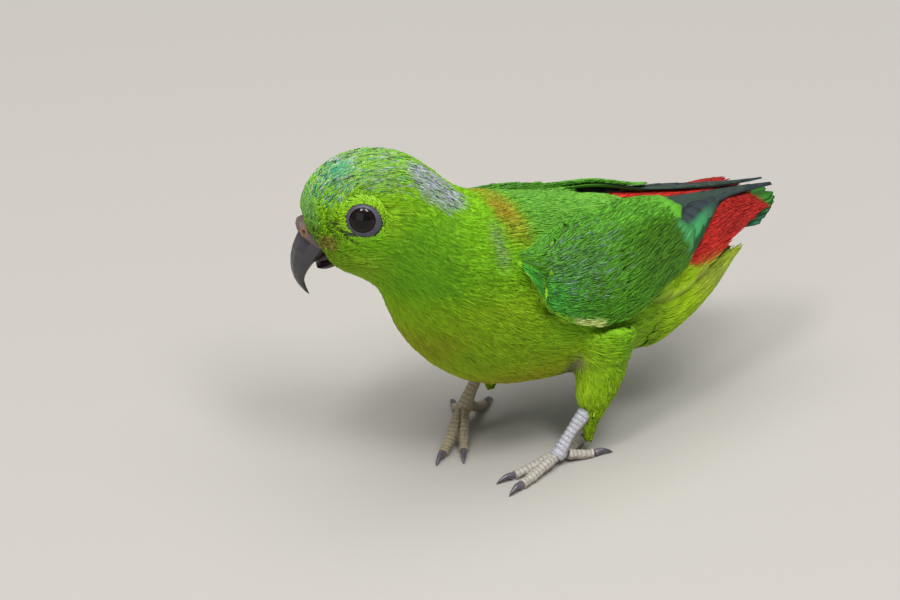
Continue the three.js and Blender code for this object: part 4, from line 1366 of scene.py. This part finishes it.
coverKeratin = featherKeratin("covert keratin")
for name, cover in covers.items():
    coverPiece(name, cover, coverKeratin)
print("coverts made")


# Tail: six pairs of feathers in a shallow arch, the middle pair uppermost

tail = {"pairs": 6, "start": 34, "end": 60.6, "width": 5.6, "rootSpread": 0.55, "tipSpread": 1.18}


def tailPiece(material):
    generator = np.random.default_rng(33)
    pile = FeatherPile()
    rings = 13
    shares = np.linspace(0, 1, rings)
    section = np.array(flightSection)
    tile = 0
    for side in (-1, 1):
        index = np.arange(tail["pairs"])[:, None]
        end = tail["end"] - 0.55 * index**1.6
        x = tail["start"] + (end - tail["start"]) * shares
        root = side * (0.6 + tail["rootSpread"] * index)
        tip = side * (1.2 + tail["tipSpread"] * index)
        line = root + (tip - root) * shares
        height = 0.4 - 0.2 * index - (0.07 if side > 0 else 0) + 0 * x
        taper = np.interp(shares, [0, 0.3, 0.8, 1], [0.6, 0.9, 1, 0.8])
        halfWidth = tail["width"] / 2 * taper * roundedEnd(shares, 0.82)
        halfWidth = halfWidth * np.ones((tail["pairs"], 1))
        halfWidth = halfWidth * (1 + generator.normal(0, 0.012, (tail["pairs"], rings)))
        points, across = layFeathers(tailPoints, x, line, height, halfWidth, flightSection)
        colours = np.tile(tones["tail"], (points.shape[0] * rings * len(section), 1))
        outer = (section[:, 0] * side * np.ones(points.shape[:3])).ravel()
        pairShare = (index / (tail["pairs"] - 1) * np.ones((1, rings)))[..., None] * np.ones(len(section))
        colours = lay(colours, "tailTeal", smooth(-0.2, 0.5, outer) * smooth(0.3, 1.0, pairShare.ravel()))
        # Both edges of each feather are painted darker as shade where the feathers overlap
        colours = colours.reshape(points.shape) * (1 - 0.25 * np.abs(section[:, 0]) ** 4)[None, None, :, None]
        phase = barbPhase(
            (end - tail["start"])[:, 0], shares, flightSection, halfWidth, generator.random(tail["pairs"])
        )
        pile.add(points, colours, phase, tiles(tile, tail["pairs"], 4, shares, flightSection))
        tile += tail["pairs"]
    pile.finish("tail_vanes", "tail_feathers", ("tail_feathers",), material)


tailPiece(flightKeratin)
print("tail made")


# Eyes and lids

eye = {
    "outward": (-0.2, 0.95, 0.16),  # before the head turns; the second value takes the side's sign
    # Section of the eyeball: distance from its axis and height along it
    "ball": [
        (0.05, 2.8), (0.7, 2.74), (1.4, 2.56), (2.0, 2.26), (2.4, 1.97), (2.66, 1.66), (2.8, 1.2),
        (2.8, 0.4), (2.45, -0.8), (1.5, -1.9), (0.05, -2.4),
    ],
    "ballSteps": 56,
    "pupilTone": "#060506",
    "irisTone": "#170c09",
    "limbusTone": "#0b0809",
    "lidTone": "#484754",
    "lidSteps": 120,
    # Section of the lid: distance from the axis, rise over the face's curve
    "lid": [
        (2.6, -0.25), (2.46, 0.16), (2.42, 0.3), (2.5, 0.38), (2.64, 0.36), (2.76, 0.22),
        (2.84, 0.18), (2.95, 0.25), (3.08, 0.18), (3.16, 0.1), (3.28, 0.16), (3.42, 0.08),
        (3.56, 0.0), (3.8, -0.04), (4.4, -0.3), (4.4, -0.8), (3.2, -0.7),
    ],
    "faceTop": 2.02,  # height of the face's curve at the eye's axis
    "faceCurve": 21,
    "wide": (225, 0.35),  # where the lid is widest, in degrees round the eye, and by how much
}


def eyeAxes(side):
    out = np.array(eye["outward"]) * (1, side, 1)
    turn = math.radians(form["headTurn"])
    out = np.array(
        [
            out[0] * math.cos(turn) + out[1] * math.sin(turn),
            -out[0] * math.sin(turn) + out[1] * math.cos(turn),
            out[2],
        ]
    )
    out = out / np.linalg.norm(out)
    lookUp = np.array([0, 0, 1.0]) - out * out[2]
    lookUp = lookUp / np.linalg.norm(lookUp)
    ahead = np.cross(lookUp, out) * (1 if side > 0 else -1)
    return out, lookUp, ahead


def ringsAbout(middle, axes, radius, height, angles):
    # radius and height: rings x angles
    out, lookUp, ahead = axes
    radial = np.cos(angles)[..., None] * ahead + np.sin(angles)[..., None] * lookUp
    return middle + radius[..., None] * radial + height[..., None] * out


def eyeMaterial():
    # Wet cornea over a dark brown iris: black with a hard bright reflection
    material, tree, shader = newMaterial("wet cornea")
    tint = addNode(tree, "VertexColor", {"layer_name": "tint"})
    tree.links.new(tint.outputs["Color"], shader.inputs["Base Color"])
    shader.inputs["Roughness"].default_value = 0.3
    shader.inputs["IOR"].default_value = 1.38
    shader.inputs["Specular IOR Level"].default_value = 0.0
    shader.inputs["Coat Weight"].default_value = 1.0
    shader.inputs["Coat IOR"].default_value = 1.34
    shader.inputs["Coat Roughness"].default_value = 0.015
    return material


def lidMaterial():
    # Thin bare skin in fine folds: matt grey with a faint mauve, darker in the folds
    material, tree, shader = newMaterial("bare lid skin")
    # The folds' grain is about 0.25 mm across
    noiseTint(tree, shader, 0.25, {"Detail": 3.0}, (0.75, 1.2), 0.6, 0.05)
    shader.inputs["Roughness"].default_value = 0.5
    return material


def makeEyes():
    ballFinish = eyeMaterial()
    lidFinish = lidMaterial()
    for name, side in (("left", -1), ("right", 1)):
        middle = np.array(form[name + "Eye"])
        axes = eyeAxes(side)
        angles = np.linspace(0, 2 * math.pi, eye["ballSteps"], endpoint=False)
        ball = np.array(eye["ball"])
        radius = ball[:, :1] * np.ones((1, eye["ballSteps"]))
        height = ball[:, 1:] * np.ones((1, eye["ballSteps"]))
        points = ringsAbout(middle, axes, radius, height, angles[None])
        piece = makePiece(
            "eyeball_" + name,
            points.reshape(-1, 3),
            tubeFaces(1, len(ball), eye["ballSteps"]),
            "eye",
            ("eye_" + name,),
        )
        front = (height > 0).ravel()
        r = radius.ravel()
        pupil = hexColour(eye["pupilTone"])
        iris = hexColour(eye["irisTone"])
        limbus = hexColour(eye["limbusTone"])
        tints = np.tile(pupil, (len(r), 1))
        tints = tints + (iris - tints) * (smooth(1.5, 1.9, r) * front)[:, None]
        tints = tints + (limbus - tints) * (smooth(2.35, 2.6, r) * front)[:, None]
        paint(piece, tints)
        piece.data.materials.append(ballFinish)
        generator = np.random.default_rng(57 + side)
        angles = np.linspace(0, 2 * math.pi, eye["lidSteps"], endpoint=False)
        lid = np.array(eye["lid"])
        waves = sum(
            generator.normal(0, 0.05 / order) * np.cos(order * angles + generator.uniform(0, 6))
            for order in (2, 3, 4, 6, 9)
        )
        place, extra = eye["wide"]
        wide = extra * np.maximum(0, np.cos(angles - math.radians(place))) ** 2
        outer = smooth(2.7, 3.9, lid[:, :1])
        radius = lid[:, :1] + outer * (wide + waves)[None]
        pleats = 0.03 * np.sin(37 * angles + 3 * np.sin(2 * angles))[None]
        pleats = pleats * smooth(2.5, 2.9, lid[:, :1]) * smooth(4.2, 3.6, lid[:, :1])
        height = eye["faceTop"] - radius**2 / eye["faceCurve"] + lid[:, 1:] + pleats
        points = ringsAbout(middle, axes, radius, height, angles[None]).transpose(1, 0, 2)
        steps, sections = points.shape[:2]
        i, j = np.meshgrid(np.arange(steps), np.arange(sections), indexing="ij")
        nextI = (i + 1) % steps
        nextJ = (j + 1) % sections
        quads = np.stack(
            [i * sections + j, nextI * sections + j, nextI * sections + nextJ, i * sections + nextJ], axis=-1
        )
        piece = makePiece(
            "lid_ring_" + name, points.reshape(-1, 3), [quads.reshape(-1, 4)], "eyelid", ("lid_" + name,)
        )
        # The lid is painted lighter on its raised folds and darker at its inner rim and at its outer edge
        # under the feathers: painted highlight and shade, with a tone that varies round the ring
        shade = 0.7 + 1.2 * np.clip(lid[:, 1] + 0.02, 0, 0.3) + 0 * angles[:, None]
        shade = shade * (1 - 0.5 * smooth(2.62, 2.46, lid[:, 0])) * (1 - 0.35 * smooth(3.3, 3.7, lid[:, 0]))
        shade = shade * (1 + 0.16 * np.sin(5 * angles + 1)[:, None] * np.sin(3 * angles + side)[:, None])
        paint(piece, hexColour(eye["lidTone"]) * shade.reshape(-1, 1))
        piece.data.materials.append(lidFinish)


def eyeBarbs():
    # Short feathers that grow round each eye and lie over the lid's outer edge
    generator = np.random.default_rng(61)
    pile = FeatherPile()
    count = 1100
    shares = np.array((0.0, 0.35, 0.7, 1.0))
    for name, side in (("left", -1), ("right", 1)):
        middle = np.array(form[name + "Eye"])
        axes = eyeAxes(side)
        start = generator.uniform(0, 2 * math.pi, count)
        place = eye["wide"][0]
        bare = np.maximum(0, np.cos(start - math.radians(place))) ** 2
        root = generator.uniform(3.65, 4.9, count) + 0.6 * bare
        tip = root - generator.uniform(0.4, 0.75, count)
        # Feathers behind the eye reach less far over the lid
        ahead = np.cos(start)
        tip = tip + 0.3 * smooth(0.2, -0.8, ahead)
        turnBack = np.sin(start) * 0.28 * generator.uniform(0.6, 1.3, count)
        radius = root[:, None] + (tip - root)[:, None] * shares
        angles = start[:, None] + turnBack[:, None] * shares
        lift = np.array((-0.35, 0.14, 0.26, 0.26)) + generator.normal(0, 0.05, (count, 1))
        height = eye["faceTop"] - radius**2 / eye["faceCurve"] + lift
        spines = ringsAbout(middle, axes, radius, height, angles)
        above = ringsAbout(middle, axes, radius, height + 1, angles)
        halfWidth = 0.14 * np.array((0.7, 1.0, 0.8, 0.15)) * generator.uniform(0.8, 1.2, (count, 1))
        points = vanePoints(spines, unit(above - spines), 0 * halfWidth, halfWidth, barbThread)
        roots = spines[:, 0]
        colours = varied(markings(roots), generator, 0.12)[:, None, None] * np.ones((1, 4, 3, 1))
        # Painted shade along each barb: darkest at the root, lighter toward the tip
        colours = colours * np.array((0.62, 0.9, 1.04, 1.12))[None, :, None, None]
        phase = barbPhase(np.full(count, 1.2), shares, barbThread, halfWidth, generator.random(count))
        mapU = 0.5 + 0.05 * radius[:, 0] * np.cos(start) * 0.8 + (0.25 * side)
        mapV = 0.5 + 0.05 * radius[:, 0] * np.sin(start)
        pile.add(points, colours, phase, patches(mapU, mapV, shares, barbThread))
    pile.finish("coat_eye_barbs", "head_plumage", (), featherKeratin("face feather keratin"))


makeEyes()
eyeBarbs()
print("eyes made")


# Bill and cere

bill = {
    "voxel": 0.16,
    "nostril": (14.5, -2.2, 2.6),  # forward, up and to each side of the head's middle
    "nostrilWidth": 0.5,
    "nostrilDepth": 0.5,
    "upperTone": "#2b292e",
    "lowerTone": "#2c1f20",
    "rearTone": "#4a444b",
    "cereTone": "#655650",
    "nostrilTone": "#93653f",
    # near black: painted shade in the gap between the bill's halves
    "liningTones": ("#190f10", "#45302b"),
}


def hornMaterial(name, roughness, coat):
    # Layered keratin worn smooth: dark and slightly glossy, with wear in a grain of about 0.9 mm
    material, tree, shader = newMaterial(name)
    noiseTint(tree, shader, 0.9, {"Detail": 5.0, "Roughness": 0.65}, (0.6, 1.45), 0.4, 0.05)
    shader.inputs["Roughness"].default_value = roughness
    shader.inputs["IOR"].default_value = 1.55
    shader.inputs["Coat Weight"].default_value = coat
    shader.inputs["Coat Roughness"].default_value = 0.25
    return material


def makeBill():
    horn = hornMaterial("bill horn", 0.36, 0.3)
    softHorn = hornMaterial("cere skin", 0.55, 0.0)
    for node, slot in (("upper_bill", "bill"), ("lower_bill", "lower_bill")):
        points, faces, normals = remeshed((node,), bill["voxel"], 0.0, 7)
        forward, up, side = headPlaces(points)
        piece = makePiece(node + "_horn", points, [faces], slot, (node,))
        base = hexColour(bill["upperTone"] if node == "upper_bill" else bill["lowerTone"])
        tints = np.tile(base, (len(points), 1))
        tints = tints + (hexColour(bill["rearTone"]) - tints) * (smooth(-9, -3, up) * 0.5)[:, None]
        tints = tints * (1 - 0.4 * smooth(-11, -15.5, up))[:, None]
        paint(piece, tints)
        piece.data.materials.append(horn)
    points, faces, normals = remeshed(("cere",), bill["voxel"], 0.0, 5)
    forward, up, side = headPlaces(points)
    spot = bill["nostril"]
    gap = np.sqrt((forward - spot[0]) ** 2 + (up - spot[1]) ** 2 + (np.abs(side) - spot[2]) ** 2)
    # The nostril is set where the cere's surface is nearest to its place
    nearest = {}
    for sign in (-1, 1):
        own = np.sign(side) == sign
        index = np.where(own)[0][np.argmin(gap[own])]
        nearest[sign] = points[index]
    reach = np.minimum(*(np.linalg.norm(points - nearest[sign], axis=1) for sign in (-1, 1)))
    width = bill["nostrilWidth"]
    pit = np.clip(1 - (reach / width) ** 2, 0, 1)
    rim = np.exp(-(((reach - width * 1.35) / 0.25) ** 2))
    points = points - normals * (bill["nostrilDepth"] * pit - 0.12 * rim)[:, None]
    piece = makePiece("cere_skin", points, [faces], "cere", ("cere",))
    tints = np.tile(hexColour(bill["cereTone"]), (len(points), 1))
    tints = tints + (hexColour(bill["nostrilTone"]) - tints) * (smooth(1.4, 0.6, reach) * 0.7)[:, None]
    # The nostril's pit is painted nearly black, as shade in the hole; the orange-brown round it is the cere's
    # own colour
    tints = tints * (1 - 0.8 * smooth(0.62, 0.3, reach))[:, None]
    paint(piece, tints)
    piece.data.materials.append(softHorn)


def mouthLining():
    # The floor and corners of the mouth, dark and moist between the two halves of the bill, painted near
    # black as shade in the gap
    shares = np.linspace(0, 1, 9)
    angles = np.linspace(0, 2 * math.pi, 20, endpoint=False)
    rings = []
    for share in shares:
        middle = headPoint(7.5 + 5.0 * share, -6.6 - 2.2 * share, 0)
        wide = 3.2 * math.sqrt(max(0.02, 1 - (1.9 * share - 0.9) ** 2 * 0.9)) * (1 - 0.25 * share)
        high = 1.9 * (1 - 0.4 * share)
        across = unit(headPoint(0, 0, 1) - headPoint(0, 0, 0))
        ring = middle + np.cos(angles)[:, None] * wide * across
        ring = ring + np.sin(angles)[:, None] * high * np.array([0, 0, 1.0])
        rings.append(ring)
    points = np.concatenate(rings)
    piece = makePiece("mouth_lining", points, tubeFaces(1, len(shares), len(angles)), "lower_bill")
    material, tree, shader = newMaterial("moist mouth skin")
    place = addNode(tree, "TexCoord")
    grain = addNode(
        tree, "TexNoise", inputs={"Scale": 1 / (0.6 * mm)}, links={"Vector": place.outputs["Object"]}
    )
    ramp = addNode(tree, "ValToRGB", links={"Fac": grain.outputs["Fac"]})
    for element, tone in zip(ramp.color_ramp.elements, bill["liningTones"]):
        element.color = (*hexColour(tone), 1)
    tree.links.new(ramp.outputs["Color"], shader.inputs["Base Color"])
    shader.inputs["Roughness"].default_value = 0.35
    piece.data.materials.append(material)


makeBill()
mouthLining()
print("bill made")


# Legs, toes and claws

foot = {
    "voxel": 0.17,
    "scuteLength": 0.95,  # mm along a toe
    "scuteDepth": 0.09,
    "padLength": 1.9,
    "leftTone": "#b3aca2",
    "rightTone": "#a3977c",
    "shankTone": "#b5b6bd",
    "clawTone": "#4c4750",
    "underTone": "#8c7a63",
}


def scaleMaterial():
    # Dry leg scales: small plates with a slight gloss and dusty seams
    material, tree, shader = newMaterial("dry leg scales")
    place = addNode(tree, "TexCoord")
    # Small round scales about 0.5 mm across between the large scutes
    cells = addNode(
        tree,
        "TexVoronoi",
        {"feature": "DISTANCE_TO_EDGE"},
        {"Scale": 1 / (0.5 * mm)},
        {"Vector": place.outputs["Object"]},
    )
    ends = {"From Min": 0.0, "From Max": 0.18, "To Min": 0.72, "To Max": 1.06}
    seam = addNode(tree, "MapRange", inputs=ends, links={"Value": cells.outputs["Distance"]})
    reliefTint(tree, shader, seam.outputs["Result"], seam.outputs["Result"], 0.6, 0.06)
    shader.inputs["Roughness"].default_value = 0.48
    return material


def scaledPiece(node, slot, tone, material, generator):
    points, faces, normals = remeshed((node,), foot["voxel"], 0.0, 4)
    middle = points.mean(axis=0)
    axis = np.linalg.svd(points - middle, full_matrices=False)[2][0]
    along = (points - middle) @ axis
    top = smooth(-0.3, 0.3, normals[:, 2]) if slot == "toe_scales" else smooth(0.3, -0.3, normals[:, 0])
    phase = along / foot["scuteLength"] + generator.random()
    groove = (0.5 + 0.5 * np.cos(2 * math.pi * phase)) ** 5
    pads = 0.5 + 0.5 * np.cos(2 * math.pi * along / foot["padLength"])
    lift = -foot["scuteDepth"] * groove * top + 0.12 * (pads - 0.5) * (1 - top) * (slot == "toe_scales")
    lift = lift * smooth(0.2, 0.8, points[:, 2] + 0.2 * (points[:, 2] > 0.3))
    piece = makePiece(node + "_scales", points + normals * lift[:, None], [faces], slot, (node,))
    tints = np.tile(hexColour(tone), (len(points), 1))
    tints = tints * (1 - 0.45 * groove * top)[:, None]
    tints = tints + (hexColour(foot["underTone"]) - tints) * (0.5 * (1 - top))[:, None]
    paint(piece, tints)
    piece.data.materials.append(material)


def makeFeet():
    scales = scaleMaterial()
    clawHorn = hornMaterial("claw horn", 0.35, 0.2)
    generator = np.random.default_rng(5)
    for side in legSides:
        tone = foot[side + "Tone"]
        shankTone = foot["shankTone"] if side == "left" else tone
        scaledPiece("shank_" + side, "leg_scales", shankTone, scales, generator)
        for toe in ("inner", "outer", "hind", "back"):
            scaledPiece("toe_" + side + "_" + toe, "toe_scales", tone, scales, generator)
            node = "claw_" + side + "_" + toe
            points, faces, normals = remeshed((node,), 0.13, 0.0, 4)
            piece = makePiece(node + "_horn", points, [faces], "claw", (node,))
            root = np.array(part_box("toe_" + side + "_" + toe)).mean(axis=0)
            reach = np.linalg.norm(points - toForm(root), axis=1)
            reach = (reach - reach.min()) / (reach.max() - reach.min())
            tints = hexColour(foot["clawTone"]) * (1.5 - 1.0 * reach)[:, None]
            paint(piece, tints)
            piece.data.materials.append(clawHorn)


makeFeet()
print("feet made")


# Floor, light and camera

studio = {
    "aim": (-12.3, 25.8),  # mm along the picture's right and up from the form's origin
    "distance": 1300,
    "azimuth": 35,
    "elevation": 28,
    "lens": 270.4,
}
turn = math.radians(studio["azimuth"])
tilt = math.radians(studio["elevation"])
right = np.array([math.cos(turn), -math.sin(turn), 0])
away = np.array([math.sin(turn) * math.cos(tilt), math.cos(turn) * math.cos(tilt), -math.sin(tilt)])
upward = np.cross(right, away)
aim = right * studio["aim"][0] + upward * studio["aim"][1]
cameraData = bpy.data.cameras.new("camera")
cameraData.lens = studio["lens"]
cameraData.sensor_width = 36
cameraData.clip_start = 0.05
camera = bpy.data.objects.new("camera", cameraData)
camera.location = toRow(aim - away * studio["distance"])
camera.rotation_euler = Vector(away).to_track_quat("-Z", "Y").to_euler()
bpy.context.scene.collection.objects.link(camera)
bpy.context.scene.camera = camera


def addPanel(name, direction, distance, size, power, colour=(1, 1, 1)):
    data = bpy.data.lights.new(name, "AREA")
    data.shape = "RECTANGLE"
    data.size = size[0]
    data.size_y = size[1]
    data.energy = power
    data.color = colour
    panel = bpy.data.objects.new(name, data)
    target = np.array([0, 0, 0.035])
    direction = unit(np.asarray(direction, float))
    panel.location = target + direction * distance
    panel.rotation_euler = Vector(-direction).to_track_quat("-Z", "Y").to_euler()
    bpy.context.scene.collection.objects.link(panel)


keyWay = 0.563 * upward - 0.824 * away
addPanel("window left", keyWay - 0.24 * right, 1.2, (0.2, 0.36), 4.6)
addPanel("window right", keyWay + 0.26 * right, 1.2, (0.28, 0.5), 7)
addPanel("sky", (0, 0, 1), 1.4, (1.6, 1.6), 21, (0.98, 0.98, 0.97))
addPanel("fill", (-1.0, -0.6, 0.35), 1.6, (1.2, 1.2), 4)

world = bpy.data.worlds.new("studio")
world.use_nodes = True
background = world.node_tree.nodes["Background"]
background.inputs["Color"].default_value = (0.9, 0.92, 0.95, 1)
background.inputs["Strength"].default_value = 0.3
bpy.context.scene.world = world
bpy.context.scene.view_settings.view_transform = "Standard"

floorMesh = bpy.data.meshes.new("floor")
reach = 3.0
floorCorners = [(-reach, -reach, 0), (reach, -reach, 0), (reach, reach, 0), (-reach, reach, 0)]
floorMesh.from_pydata(floorCorners, [], [(0, 1, 2, 3)])
floor = bpy.data.objects.new("floor", floorMesh)
bpy.context.scene.collection.objects.link(floor)
floorMaterial, _, floorShader = newMaterial("matt studio paper")
floorShader.inputs["Base Color"].default_value = (*hexColour("#a9a59f"), 1)
floorShader.inputs["Roughness"].default_value = 0.9
floor.data.materials.append(floorMaterial)
